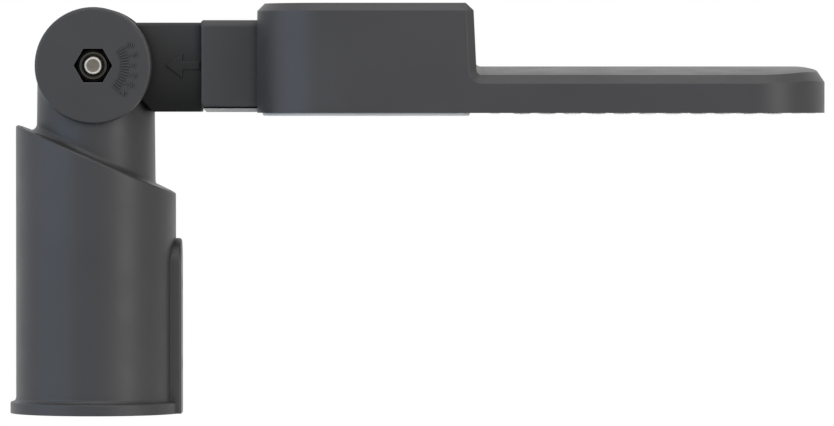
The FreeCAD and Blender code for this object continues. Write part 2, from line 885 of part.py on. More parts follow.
def make_tilt_arm():
    body = new_body("tilt_arm")
    width = S.arm_half_width * 2
    sketch = new_sketch(body, "arm_section", "YZ_Plane")
    rounded_section(sketch, S.arm_half_width - S.eye_stand, arm_bottom(),
                    S.pivot_height + S.arm_above_pivot, S.arm_round, S.arm_crown)
    pad(body, sketch, S.arm_end)
    sketch = new_sketch(body, "arm_stop", "XZ_Plane")
    under = arm_bottom() - S.arm_round
    outline(sketch, [
        (-S.arm_round, under),
        (stop_line_x(under, S.stop_gap), under),
        (stop_line_x(S.pivot_height, S.stop_gap), S.pivot_height),
        (-S.arm_round, S.pivot_height),
    ])
    pocket(body, sketch, width, both=True)
    raise_arrow(body)
    add_cylinder(body, "eye", S.eye_radius, width, **along_knuckle(S.arm_half_width))
    sketch = new_sketch(body, "spigot_outline", "YZ_Plane", S.arm_end)
    rounded_section(sketch, S.spigot_half_width, S.spigot_bottom, S.spigot_top,
                    S.spigot_round)
    pad(body, sketch, S.spigot_end - S.arm_end)

    inner = S.arm_half_width - S.arm_wall
    cut_cylinder(body, "eye_hollow", S.eye_radius - S.arm_wall, inner * 2,
                 **along_knuckle(inner))
    low = S.spigot_bottom + S.arm_wall
    sketch = new_sketch(body, "arm_hollow", "YZ_Plane", S.spigot_end - S.arm_wall)
    rounded_section(sketch, S.spigot_half_width - S.arm_wall, low,
                    S.spigot_top - S.arm_wall, S.spigot_round / 2)
    pocket(body, sketch, S.spigot_end - S.arm_wall)
    cut_box(body, "wire_window", S.eye_radius * 0.7, S.wire_window_half_width * 2,
            S.eye_radius * 0.7, x=-S.eye_radius * 0.8, y=-S.wire_window_half_width,
            z=S.pivot_height - S.eye_radius)
    add_cylinder(body, "bolt_boss", S.bolt_boss_radius, inner * 2, **along_knuckle(inner))
    cut_cylinder(body, "eye_bore", S.bolt_radius + S.bolt_clearance, width,
                 **along_knuckle(S.arm_half_width))
    cut_cylinder(body, "gland_hole", S.gland_radius, S.arm_wall,
                 x=S.spigot_end - S.arm_wall, z=spigot_middle(), axis=(0, 1, 0), angle=90)
    drill(body, "spigot_threads", S.spigot_bottom, S.arm_wall, S.spigot_screw_radius,
          spigot_screw_places())
    cut_teeth(body, "eye_teeth", S.arm_half_width, S.arm_half_width - S.tooth_depth)


def raise_arrow(body):
    """Arrow that stands on the side and points at the tilt scale, with sloping edges."""
    sketch = new_sketch(body, "arrow", "XZ_Plane", S.arm_half_width - S.arrow_root)
    middle = S.pivot_height
    outline(sketch, [
        (S.arrow_tip, middle),
        (S.arrow_back, middle - S.arrow_half_height),
        (S.arrow_back, middle - S.arrow_shaft_half_height),
        (S.arm_end, middle - S.arrow_shaft_half_height),
        (S.arm_end, middle + S.arrow_shaft_half_height),
        (S.arrow_back, middle + S.arrow_shaft_half_height),
        (S.arrow_back, middle + S.arrow_half_height),
    ])
    pad(body, sketch, S.arrow_relief + S.arrow_root)
    face = S.arm_half_width + S.arrow_relief
    chamfer(body, "arrow_slopes", S.arrow_slope, lambda e: flat_at(e, "y", -face))


def rounded_section(sketch, half_width, low, high, radius, crown=None):
    """Rounded rectangle on the YZ plane, centred across and from low to high. The crown
    is how far its sides bulge, within the half width."""
    side = half_width if crown is None else half_width - crown
    corners = [(radius - side, low), (side - radius, low), (side, low + radius),
               (side, high - radius), (side - radius, high), (radius - side, high),
               (-side, high - radius), (-side, low + radius)]
    arcs = {1: radius, 3: radius, 5: radius, 7: radius}
    if crown is not None:
        rise = (high - low) / 2 - radius
        bulge = (rise * rise + crown * crown) / (crown * 2)
        arcs.update({2: bulge, 6: bulge})
    return outline(sketch, corners, arcs)


def spigot_middle():
    return (S.spigot_top + S.spigot_bottom) / 2


def spigot_screw_places():
    first = S.spigot_screw_first
    return [("inner", first, ZERO), ("outer", first + S.spigot_screw_pitch, ZERO)]


# Housing: one aluminium casting with the collar, the gear box and the thin lamp panel.

def box_foot_x():
    """Where the sloping front of the gear box meets the panel."""
    rise = S.box_top - S.panel_ridge
    lean = rise * sine(S.box_front_draft) / cosine(S.box_front_draft)
    return S.head_back + S.box_length + lean


def head_tip_x():
    return S.head_back + S.head_length


def rebate_front_x():
    return box_foot_x() - S.wall


def make_housing_outside(body):
    """Box with a sloping front, the crowned panel ahead of it, and the bevel round both."""
    half = S.head_half_width
    corner = S.plan_corner
    back = S.head_back
    foot = box_foot_x()
    front = foot + S.wall
    sketch = new_sketch(body, "box_plan", "XY_Plane", S.rim_height)
    outline(sketch, [
        (back + corner, -half),
        (front, -half),
        (front, half),
        (back + corner, half),
        (back, half - corner),
        (back, corner - half),
    ], {3: corner, 5: corner})
    pad(body, sketch, S.box_top - S.rim_height)
    rise = S.box_top - S.panel_ridge
    lean = S.box_front_draft
    cut_box(body, "box_front", rise, half * 2, rise * 3,
            x=foot + rise * sine(lean) / cosine(lean), y=-half, z=S.panel_ridge - rise,
            axis=(0, 1, 0), angle=-lean)

    tip = head_tip_x()
    drop = S.panel_edge_drop
    edge = S.panel_ridge - drop
    start = foot - S.bay_corner
    nose = tip - S.nose_length
    sketch = new_sketch(body, "panel_section", "YZ_Plane", start)
    panel_outline(sketch, half, S.rim_height, edge, drop)
    pad(body, sketch, nose - start)
    hub = S.panel_ridge - S.nose_radius
    sketch = new_sketch(body, "nose_section", "YZ_Plane", nose, hub)
    panel_outline(sketch, half, S.rim_height - hub, edge - hub, drop)
    revolve(body, sketch, "H_Axis", NOSE_TURN)
    cut_box(body, "under_the_nose", S.nose_radius, half * 2, S.rim_height - hub,
            x=nose, y=-half, z=hub)
    sketch = new_sketch(body, "tip_plan", "XY_Plane", S.rim_height)
    outline(sketch, [
        (tip - corner, -half),
        (tip, corner - half),
        (tip, half - corner),
        (tip - corner, half),
        (tip - corner, half * 2),
        (tip + corner, half * 2),
        (tip + corner, -half * 2),
        (tip - corner, -half * 2),
    ], {0: corner, 2: corner})
    pocket(body, sketch, S.box_top - S.rim_height, reverse=True)
    fillet(body, "box_foot", S.box_foot_round, is_box_foot)
    chamfer(body, "top_bevel", S.bevel, is_top_edge)


def panel_outline(sketch, half, low, edge, drop):
    """Section of the lamp panel: flat below, crowned above."""
    return outline(sketch, [
        (-half, low),
        (half, low),
        (half, edge),
        (-half, edge),
    ], {2: (half * half + drop * drop) / (drop * 2)})


def is_box_foot(edge):
    """The crowned line where the box front meets the panel."""
    box = edge.BoundBox
    return (box.YLength > S.head_half_width.value and box.ZMax < S.panel_ridge.value + 0.1
            and box.ZMin > S.rim_height.value + S.wall.value and box.XLength < 2
            and abs(box.XMax - box_foot_x().value) < 2)


def is_top_edge(edge):
    """Every edge of the top that the bevel follows: all but the foot of the box front."""
    half = S.head_half_width.value
    middle = edge.discretize(3)[1]
    if edge.BoundBox.ZMin < S.rim_height.value + S.wall.value:
        return False
    back = S.head_back.value
    corner = S.plan_corner.value
    on_side = near(abs(middle.y), half)
    on_end = near(middle.x, back) or near(middle.x, head_tip_x())
    on_front = near(middle.z, S.box_top)
    centre_x = min(max(middle.x, back + corner), head_tip_x().value - corner)
    centre_y = math.copysign(half - corner, middle.y)
    on_corner = near(math.hypot(middle.x - centre_x, middle.y - centre_y), corner)
    return on_side or on_end or on_front or on_corner


def make_collar(body):
    """Sleeve on the back wall, with the opening that takes the arm's spigot."""
    sketch = new_sketch(body, "collar_section", "YZ_Plane", S.arm_end)
    rounded_section(sketch, S.collar_half_width, S.collar_bottom, S.collar_top,
                    S.collar_round)
    pad(body, sketch, S.head_back + S.wall - S.arm_end)
    fillet(body, "collar_mouth", S.collar_edge_round, lambda e: flat_at(e, "x", S.arm_end))


def cut_bay(body, name, start, end, half, back_corner, front_corner, floor, roof):
    """Hollow that opens downwards, with a plan of its own, from floor up to roof."""
    sketch = new_sketch(body, name, "XY_Plane", floor)
    rounded_box(sketch, start, end, half, back_corner, front_corner)
    pocket(body, sketch, roof - floor, reverse=True)


def cover_rebate():
    """Plan of the rebate that the gear cover sits in: start, end, half width, corners."""
    wall = S.rebate_wall
    return (S.head_back + wall, rebate_front_x(), S.head_half_width - wall,
            S.plan_corner - wall, S.bay_corner)


def lens_rebate():
    """Plan of the rebate that the lens plate sits in."""
    wall = S.rebate_wall
    return (S.lens_bay_start, head_tip_x() - wall, S.head_half_width - wall,
            S.bay_corner, S.plan_corner - wall)


def inset(plan, step):
    start, end, half, back_corner, front_corner = plan
    return (start + step, end - step, half - step, less(back_corner, step),
            less(front_corner, step))


def less(corner, step):
    """A corner radius after an inset, never under half of what it was."""
    return corner - step if corner.value > 2 * step.value else corner / 2


def corner_places(plan, step):
    """Four places a step inside the plan's corners, with a name each."""
    start, end, half, back_corner, front_corner = plan
    places = []
    for side, name in ((1, "far"), (-1, "near")):
        for x, corner, sign, end_name in ((start, back_corner, 1, "back"),
                                          (end, front_corner, -1, "front")):
            pull = corner - (corner - step) * (0.5 ** 0.5)
            places.append((end_name + "_" + name, x + sign * pull, side * (half - pull)))
    return places


def cover_screw_places():
    return corner_places(cover_rebate(), S.cover_screw_inset)


def tray_plan():
    gap = S.tray_gap
    start, end, half, back_corner, front_corner = inset(cover_rebate(), S.ledge_width + gap)
    return start, end, half + gap - S.tray_side_gap, S.tray_corner, front_corner


def tray_screw_places():
    return corner_places(tray_plan(), S.tray_screw_inset)


def lens_screw_places():
    """Places along both long sides, two at the tip and two at the back."""
    start, end, half, back_corner, front_corner = lens_rebate()
    line = half - S.lens_screw_inset
    places = []
    for i in range(LENS_SIDE_SCREWS):
        x = start + S.lens_screw_inset * 2 + S.lens_screw_pitch * i
        places += [("far_%d" % i, x, line), ("near_%d" % i, x, -line)]
    tip = end - S.lens_screw_inset
    across = S.lens_screw_pitch / 2
    places += [("tip_far", tip, across), ("tip_near", tip, -across)]
    pull = front_corner - (front_corner - S.lens_screw_inset) * (0.5 ** 0.5)
    places += [("corner_far", end - pull, half - pull), ("corner_near", end - pull, pull - half)]
    return places


def make_housing():
    body = new_body("housing")
    make_housing_outside(body)
    make_collar(body)
    sketch = new_sketch(body, "spigot_opening", "YZ_Plane", S.arm_end)
    rounded_section(sketch, S.spigot_half_width + S.spigot_clearance,
                    S.spigot_bottom - S.spigot_clearance,
                    S.spigot_top + S.spigot_clearance, S.spigot_round)
    pocket(body, sketch, S.spigot_end - S.arm_end, reverse=True)

    rebate = cover_rebate()
    cut_bay(body, "cover_rebate", *rebate, S.rim_height, S.cover_ledge)
    cut_bay(body, "gear_bay", *inset(rebate, S.ledge_width), S.cover_ledge,
            S.box_top - S.wall)
    places = cover_screw_places()
    raise_bosses(body, "cover_bosses", S.cover_ledge, S.cover_screw_length + S.wall,
                 S.screw_boss_radius, places)
    drill(body, "cover_threads", S.cover_ledge, S.cover_screw_length, S.cover_screw_radius,
          places)
    places = tray_screw_places()
    raise_bosses(body, "tray_bosses", S.tray_seat, S.box_top - S.wall - S.tray_seat,
                 S.tray_boss_radius, places)
    drill(body, "tray_threads", S.tray_seat, S.tray_screw_length, S.tray_screw_radius, places)

    rebate = lens_rebate()
    cut_bay(body, "lens_rebate", *rebate, S.rim_height, S.lens_ledge)
    cut_bay(body, "board_bay", *inset(rebate, S.lens_ledge_width), S.lens_ledge,
            S.board_seat)
    drill(body, "lens_threads", S.lens_ledge, S.lens_screw_length, S.lens_screw_radius,
          lens_screw_places())
    cut_cylinder(body, "lead_way", S.lead_hole_radius,
                 S.lead_drop - rebate_front_x() + S.bay_corner, x=rebate_front_x() - S.bay_corner,
                 y=S.lead_across, z=S.lead_hole_height, axis=(0, 1, 0), angle=90)
    cut_cylinder(body, "lead_drop", S.lead_hole_radius, S.lead_hole_height - S.lens_ledge,
                 x=S.lead_drop, y=S.lead_across, z=S.lens_ledge)

    floor = S.collar_bottom
    places = spigot_screw_places()
    drill(body, "spigot_heads", floor, S.spigot_screw_head_height + S.spigot_clearance * 2,
          S.spigot_head_hole, places)
    drill(body, "spigot_holes", floor, S.spigot_bottom - floor, S.spigot_screw_hole, places)
    drill(body, "strip_threads", floor, S.strip_screw_length, S.strip_screw_radius,
          strip_screw_places())


def strip_middle():
    return (S.strip_start + S.head_back) / 2


def strip_screw_places():
    x = strip_middle()
    return [("far", x, S.strip_screw_across), ("near", x, -S.strip_screw_across)]


# Screws that are driven in from below. A group of them is one piece of several solids.

def screw_up(name, x, y, seat, head_radius, head_height, shank_radius, length, socket=None):
    """One screw: head below the seat level, shank above it, and a hexagon socket."""
    head = doc.addObject("Part::Cylinder", name + "_head")
    bind(head, Radius=head_radius, Height=head_height)
    place(head, x, y, seat - head_height)
    shank = doc.addObject("Part::Cylinder", name + "_shank")
    bind(shank, Radius=shank_radius, Height=length)
    place(shank, x, y, seat)
    whole = doc.addObject("Part::Fuse", name)
    whole.Base = head
    whole.Tool = shank
    if socket is None:
        return whole
    key = doc.addObject("Part::Prism", name + "_key")
    key.Polygon = 6
    bind(key, Circumradius=socket / 3.0 ** 0.5, Height=head_height / 2)
    place(key, x, y, seat - head_height)
    cut = doc.addObject("Part::Cut", name + "_socketed")
    cut.Base = whole
    cut.Tool = key
    return cut


def group(label, members):
    whole = doc.addObject("Part::Compound", label)
    whole.Label = label
    whole.Links = members
    pieces.append(whole)
    return whole


def make_spigot_screws():
    seat = S.collar_bottom + S.spigot_screw_head_height + S.spigot_clearance * 2
    group("spigot_screws", [
        screw_up("spigot_screw_" + name, x, y, seat, S.spigot_screw_head_radius,
                 S.spigot_screw_head_height, S.spigot_screw_radius, S.spigot_screw_length,
                 S.spigot_screw_socket)
        for name, x, y in spigot_screw_places()
    ])


# Gear cover: a thin cast lid under the box, with its gasket, screws and pressure vent.

def make_gear_cover():
    body = new_body("gear_cover")
    plan = inset(cover_rebate(), S.cover_gap)
    top = S.cover_face + S.cover_thickness
    sketch = new_sketch(body, "cover_plan", "XY_Plane", S.cover_face)
    rounded_box(sketch, *plan)
    pad(body, sketch, S.cover_thickness)
    fillet(body, "cover_edge", S.cover_edge_round, lambda e: flat_at(e, "z", S.cover_face))
    start, end, half, back_corner, front_corner = inset(cover_rebate(), S.cover_screw_inset * 2)
    rib = S.cover_rib_width
    middle = (start + end) / 2
    add_box(body, "cover_rib_along", end - start, rib, S.cover_rib_height,
            x=start, y=-rib / 2, z=top)
    add_box(body, "cover_rib_across", rib, half * 2, S.cover_rib_height,
            x=middle - rib / 2, y=-half, z=top)
    places = cover_screw_places()
    drill(body, "cover_holes", S.cover_face, S.cover_thickness,
          S.cover_screw_radius + S.screw_clearance, places)
    drill(body, "cover_sinks", S.cover_face, S.cover_screw_head_height,
          S.cover_screw_head_radius + S.screw_clearance, places)
    x, y = vent_place()
    cut_cylinder(body, "vent_hole", S.vent_radius, S.cover_thickness, x=x, y=y,
                 z=S.cover_face)
    cut_cylinder(body, "vent_sink", S.vent_flange_radius, S.vent_flange_thickness,
                 x=x, y=y, z=S.cover_face)


def vent_place():
    start, end, half, back_corner, front_corner = cover_rebate()
    return (start + end) / 2 + S.vent_across, -S.vent_across


def ring_from_plans(label, outer, inner, low, thickness):
    """Flat ring between two plans of the same kind."""
    body = new_body(label)
    sketch = new_sketch(body, label + "_outside", "XY_Plane", low)
    rounded_box(sketch, *outer)
    pad(body, sketch, thickness)
    sketch = new_sketch(body, label + "_inside", "XY_Plane", low)
    rounded_box(sketch, *inner)
    pocket(body, sketch, thickness, reverse=True)
    return body


def make_gear_cover_seal():
    outer = inset(cover_rebate(), S.gasket_setback)
    ring_from_plans("gear_cover_seal", outer, inset(outer, S.gasket_width),
                    S.cover_face + S.cover_thickness, S.gasket_thickness)


def make_gear_cover_screws():
    seat = S.cover_face + S.cover_screw_head_height
    length = S.cover_screw_length + S.cover_ledge - seat - S.wall
    group("gear_cover_screws", [
        screw_up("cover_screw_" + name, x, y, seat, S.cover_screw_head_radius,
                 S.cover_screw_head_height, S.cover_screw_radius, length)
        for name, x, y in cover_screw_places()
    ])


def make_breather_plug():
    body = new_body("breather_plug")
    x, y = vent_place()
    add_cylinder(body, "vent_flange", S.vent_flange_radius, S.vent_flange_thickness,
                 x=x, y=y, z=S.cover_face)
    add_cylinder(body, "vent_body", S.vent_radius, S.vent_depth, x=x, y=y, z=S.cover_face)


# Strip under the collar that hides the spigot screws.

def make_collar_cover():
    body = new_body("collar_cover")
    back = S.head_back
    sketch = new_sketch(body, "strip_side", "XZ_Plane")
    outline(sketch, [
        (S.strip_start + S.strip_chamfer, S.strip_face),
        (back, S.strip_face),
        (back, S.collar_bottom),
        (S.strip_start, S.collar_bottom),
        (S.strip_start, S.strip_face + S.strip_chamfer),
    ])
    pad(body, sketch, S.strip_half_width * 2, both=True)
    thickness = S.collar_bottom - S.strip_face
    places = strip_screw_places()
    drill(body, "strip_holes", S.strip_face, thickness,
          S.strip_screw_radius + S.screw_clearance, places)
    drill(body, "strip_sinks", S.strip_face, thickness / 2,
          S.strip_screw_head_radius + S.screw_clearance, places)


def make_collar_cover_screws():
    head = (S.collar_bottom - S.strip_face) / 2
    group("collar_cover_screws", [
        screw_up("strip_screw_" + name, x, y, S.strip_face + head,
                 S.strip_screw_head_radius, head, S.strip_screw_radius,
                 S.strip_screw_length)
        for name, x, y in strip_screw_places()
    ])


# Lamp optics: lens plate, its seal and screws, the board and its light sources.

def lens_columns():
    return [S.lens_first + S.lens_pitch * i for i in range(LENS_COLUMNS)]


def lens_rows():
    pitch = (S.head_half_width - S.lens_margin) * 2 / LENS_ROWS
    return [pitch * (i - (LENS_ROWS - 1) / 2) for i in range(LENS_ROWS)]


def make_lens_plate():
    body = new_body("lens_plate")
    plan = inset(lens_rebate(), S.lens_plate_gap)
    sketch = new_sketch(body, "lens_plan", "XY_Plane", S.lens_plate_face)
    rounded_box(sketch, *plan)
    pad(body, sketch, S.lens_plate_thickness)
    drill(body, "lens_holes", S.lens_plate_face, S.lens_plate_thickness,
          S.lens_screw_radius + S.screw_clearance, lens_screw_places())
    sketch = new_sketch(body, "lens_feet", "XY_Plane", S.lens_plate_face)
    for x in lens_columns():
        for y in lens_rows():
            circle(sketch, x, y, S.lens_foot_radius)
    slope = math.degrees(math.atan2((S.lens_foot_radius - S.lens_top_radius).value,
                                    S.lens_height.value))
    pad(body, sketch, S.lens_height, reverse=True, taper=-as_size(slope))


def make_lens_seal():
    outer = inset(lens_rebate(), S.lens_ledge_width - S.lens_seal_width)
    ring_from_plans("lens_seal", outer, inset(outer, S.lens_seal_width),
                    S.lens_plate_face + S.lens_plate_thickness,
                    S.lens_ledge - S.lens_plate_face - S.lens_plate_thickness)


def make_lens_screws():
    seat = S.lens_plate_face
    length = S.lens_ledge + S.lens_screw_length - seat - S.wall
    group("lens_screws", [
        screw_up("lens_screw_" + name, x, y, seat, S.lens_screw_head_radius,
                 S.lens_screw_head_height, S.lens_screw_radius, length)
        for name, x, y in lens_screw_places()
    ])


def make_led_board():
    body = new_body("led_board")
    plan = inset(lens_rebate(), S.lens_ledge_width + S.lens_plate_gap)
    low = S.board_seat - S.board_thickness
    sketch = new_sketch(body, "board_plan", "XY_Plane", low)
    rounded_box(sketch, *plan)
    pad(body, sketch, S.board_thickness)
    cut_cylinder(body, "lead_notch", S.lead_hole_radius, S.board_thickness,
                 x=S.lead_drop, y=S.lead_across, z=low)


def make_led_packages():
    top = S.board_seat - S.board_thickness
    members = []
    for i, x in enumerate(lens_columns()):
        for j, y in enumerate(lens_rows()):
            led = doc.addObject("Part::Box", "led_%d_%d" % (i, j))
            bind(led, Length=S.led_side, Width=S.led_side, Height=S.led_height)
            place(led, x - S.led_side / 2, y - S.led_side / 2, top - S.led_height)
            members.append(led)
    group("led_packages", members)


# Gear tray under the roof of the box, and what it carries.

def tray_face():
    return S.tray_seat - S.tray_thickness


def make_gear_tray():
    body = new_body("gear_tray")
    sketch = new_sketch(body, "tray_outline", "XY_Plane", tray_face())
    rounded_box(sketch, *tray_plan())
    pad(body, sketch, S.tray_thickness)
    drill(body, "tray_holes", tray_face(), S.tray_thickness,
          S.tray_screw_radius + S.screw_clearance, tray_screw_places())


def make_tray_screws():
    group("tray_screws", [
        screw_up("tray_screw_" + name, x, y, tray_face(), S.tray_screw_head_radius,
                 S.tray_screw_head_height, S.tray_screw_radius, S.tray_screw_length)
        for name, x, y in tray_screw_places()
    ])


def tray_half_width():
    start, end, half, back_corner, front_corner = tray_plan()
    return half


def driver_start():
    start, end, half, back_corner, front_corner = tray_plan()
    return end - S.driver_end_gap - S.driver_length


def driver_y():
    return tray_half_width() - S.driver_side_gap - S.driver_width / 2


def driver_screw_places():
    start = driver_start()
    ear = S.driver_ear / 2
    y = driver_y()
    return [("back", start - ear, y), ("front", start + S.driver_length + ear, y)]


def make_driver():
    body = new_body("driver")
    start = driver_start()
    low = tray_face() - S.driver_height
    add_box(body, "driver_case", S.driver_length, S.driver_width, S.driver_height,
            x=start, y=driver_y() - S.driver_width / 2, z=low)
    fillet(body, "driver_rounds", S.driver_edge_round,
           lambda e: e.BoundBox.ZLength < 0.01 and flat_at(e, "z", low))
    ear = S.driver_ear
    add_box(body, "driver_ears", S.driver_length + ear * 2, ear * 2,
            S.driver_ear_thickness, x=start - ear, y=driver_y() - ear,
            z=tray_face() - S.driver_ear_thickness)
    drill(body, "driver_holes", tray_face() - S.driver_ear_thickness,
          S.driver_ear_thickness, S.tray_screw_radius, driver_screw_places())


def make_driver_screws():
    seat = tray_face() - S.driver_ear_thickness
    group("driver_screws", [
        screw_up("driver_screw_" + name, x, y, seat, S.load_screw_head_radius,
                 S.tray_screw_head_height, S.tray_screw_radius, S.driver_ear_thickness)
        for name, x, y in driver_screw_places()
    ])


def terminal_y():
    """Half way between the driver and the surge protector."""
    driver_edge = driver_y() - S.driver_width / 2
    surge_edge = surge_y() + S.surge_width / 2
    return (driver_edge + surge_edge) / 2


def make_terminal_block():
    body = new_body("terminal_block")
    x = clamp_x() + S.clamp_length / 2 + S.terminal_gap
    y = terminal_y() - S.terminal_width / 2
    low = tray_face() - S.terminal_height
    step = S.terminal_width / 4
    add_box(body, "terminal_foot", S.terminal_length, S.terminal_width,
            S.terminal_height / 2, x=x, y=y, z=low + S.terminal_height / 2)
    add_box(body, "terminal_top", S.terminal_length, S.terminal_width - step * 2,
            S.terminal_height / 2, x=x, y=y + step, z=low)
    pitch = S.terminal_length / TERMINAL_WAYS
    wells = [(i, x + pitch * (i + 0.5), terminal_y()) for i in range(TERMINAL_WAYS)]
    drill(body, "terminal_wells", low, S.terminal_well_depth, S.terminal_well_radius, wells)


def surge_y():
    return S.surge_side_gap + S.surge_width / 2 - tray_half_width()


def make_surge_protector():
    body = new_body("surge_protector")
    start, end, half, back_corner, front_corner = tray_plan()
    low = tray_face() - S.surge_height
    add_box(body, "surge_case", S.surge_length, S.surge_width, S.surge_height,
            x=end - S.surge_end_gap - S.surge_length, y=surge_y() - S.surge_width / 2, z=low)
    fillet(body, "surge_rounds", S.surge_round,
           lambda e: near(e.BoundBox.ZLength, S.surge_height) or flat_at(e, "z", low))


def clamp_x():
    return S.spigot_end + S.gland_length + S.clamp_gap + S.clamp_length / 2


def clamp_y():
    return terminal_y() - S.clamp_offset


def make_cable_clamp():
    """Saddle under the tray that grips the supply cable next to the gland."""
    body = new_body("cable_clamp")
    outer = S.clamp_bore_radius + S.clamp_wall
    x = clamp_x() - S.clamp_length / 2
    top = tray_face()
    sketch = new_sketch(body, "clamp_section", "YZ_Plane", x)
    span = outer + S.clamp_foot
    wall = S.clamp_wall
    y = clamp_y()
    bore = S.clamp_bore_radius
    outline(sketch, [
        (y - span, top - wall),
        (y - outer, top - wall),
        (y, top - outer),
        (y + outer, top - wall),
        (y + span, top - wall),
        (y + span, top),
        (y + bore, top),
        (y, top - bore),
        (y - bore, top),
        (y - span, top),
    ], {6: -bore, 7: -bore})
    pad(body, sketch, S.clamp_length)
    drill(body, "clamp_holes", top - wall, wall, S.tray_screw_radius, clamp_screw_places())


def clamp_screw_places():
    reach = S.clamp_bore_radius + S.clamp_wall + S.clamp_foot / 2
    return [("far", clamp_x(), clamp_y() + reach), ("near", clamp_x(), clamp_y() - reach)]


def make_cable_clamp_screws():
    seat = tray_face() - S.clamp_wall
    group("cable_clamp_screws", [
        screw_up("clamp_screw_" + name, x, y, seat, S.load_screw_head_radius,
                 S.tray_screw_head_height, S.tray_screw_radius, S.clamp_wall)
        for name, x, y in clamp_screw_places()
    ])


def make_earth_screw():
    body = new_body("earth_screw")
    start, end, half, back_corner, front_corner = tray_plan()
    low = tray_face() - S.earth_head_height
    sketch = new_sketch(body, "earth_head", "XY_Plane", low)
    hexagon(sketch, start + S.earth_from_start, S.earth_from_side - half, S.earth_head_width)
    pad(body, sketch, S.earth_head_height)


# Cable gland in the spigot's end wall, and the grommet of the lamp's leads.

def make_cable_gland():
    body = new_body("cable_gland")
    along_x = {"z": spigot_middle(), "axis": (0, 1, 0), "angle": 90}
    sketch = new_sketch(body, "gland_hexagon", "YZ_Plane", S.spigot_end)
    hexagon(sketch, ZERO, spigot_middle(), S.gland_hex)
    pad(body, sketch, S.gland_hex_length)
    length = S.gland_length
    add_cylinder(body, "gland_dome", S.gland_dome_radius, length, x=S.spigot_end, **along_x)
    end = S.spigot_end + length
    fillet(body, "gland_dome_round", S.gland_dome_radius * 0.3,
           lambda e: flat_at(e, "x", end))
    add_cylinder(body, "gland_thread", S.gland_radius, S.arm_wall + length,
                 x=S.spigot_end - S.arm_wall, **along_x)
    cut_cylinder(body, "gland_bore", S.gland_bore_radius, S.arm_wall * 2 + length,
                 x=S.spigot_end - S.arm_wall, **along_x)


def make_lead_grommet():
    body = new_body("lead_grommet")
    along_x = {"y": S.lead_across, "z": S.lead_hole_height, "axis": (0, 1, 0), "angle": 90}
    wall = rebate_front_x() - S.ledge_width
    lip = S.grommet_lip
    add_cylinder(body, "grommet_sleeve", S.lead_hole_radius, lip * 3, x=wall, **along_x)
    add_cylinder(body, "grommet_flange", S.lead_hole_radius + lip, lip, x=wall - lip,
                 **along_x)
    cut_cylinder(body, "grommet_bore", S.grommet_bore_radius, lip * 4, x=wall - lip,
                 **along_x)


def finish():
    """Checks every object, then writes one file for each piece."""
    doc.recompute()
    failed = [item.Name for item in doc.Objects if is_failed(item)]
    if failed:
        raise RuntimeError("failed: " + ", ".join(failed))
    for piece in pieces:
        if piece.Shape.isNull() or not piece.Shape.isValid():
            raise RuntimeError("bad shape: " + piece.Label)
    os.makedirs("parts", exist_ok=True)
    for piece in pieces:
        piece.Shape.exportStep("parts/%s.step" % piece.Label)
        print("%-24s %3d solids %10.1f mm3" % (piece.Label, len(piece.Shape.Solids),
                                               piece.Shape.Volume))


make_pole_adaptor()
make_pole_screw("pole_screw_upper", S.pole_screw_high)
make_pole_screw("pole_screw_lower", S.pole_screw_low)
make_knuckle_bolt()
make_knuckle_washer()
make_knuckle_nut()
make_nut_locking_ring()
make_tilt_arm()
make_housing()
make_spigot_screws()
make_collar_cover()
make_collar_cover_screws()
make_gear_cover()
make_gear_cover_seal()
make_gear_cover_screws()
make_breather_plug()
make_lens_plate()
make_lens_seal()
make_lens_screws()
make_led_board()
make_led_packages()
make_gear_tray()
make_tray_screws()
make_driver()
make_driver_screws()
make_terminal_block()
make_surge_protector()
make_cable_clamp()
make_cable_clamp_screws()
make_earth_screw()
make_cable_gland()
make_lead_grommet()
finish()
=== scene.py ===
import math

import bmesh
import bpy
import numpy as np
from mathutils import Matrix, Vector


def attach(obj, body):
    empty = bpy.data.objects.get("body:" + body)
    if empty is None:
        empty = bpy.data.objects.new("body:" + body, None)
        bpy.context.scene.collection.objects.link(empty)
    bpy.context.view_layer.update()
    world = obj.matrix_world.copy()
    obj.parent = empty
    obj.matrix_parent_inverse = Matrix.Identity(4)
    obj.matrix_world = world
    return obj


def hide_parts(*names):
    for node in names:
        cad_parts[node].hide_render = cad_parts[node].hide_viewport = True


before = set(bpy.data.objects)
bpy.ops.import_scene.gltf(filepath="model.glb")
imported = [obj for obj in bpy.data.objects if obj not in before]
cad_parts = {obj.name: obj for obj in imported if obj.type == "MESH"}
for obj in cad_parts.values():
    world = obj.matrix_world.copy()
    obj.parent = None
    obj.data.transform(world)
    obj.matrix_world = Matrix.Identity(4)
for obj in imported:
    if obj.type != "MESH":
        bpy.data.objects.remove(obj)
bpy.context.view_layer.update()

# Camera: the photograph looks square on at the side of the light from a few metres away,
# a little above the panel.
camera = bpy.data.objects.new("camera", bpy.data.cameras.new("camera"))
bpy.context.scene.collection.objects.link(camera)
camera.data.sensor_width = 36.0
camera.data.lens = 302.0
camera.location = (0.1688, -3.675, 0.1668)
camera_target = Vector((0.1686, 0.0, 0.1049))
camera.rotation_euler = (camera_target - camera.location).to_track_quat("-Z", "Y").to_euler()
bpy.context.scene.camera = camera
bpy.context.scene.view_settings.view_transform = "Standard"


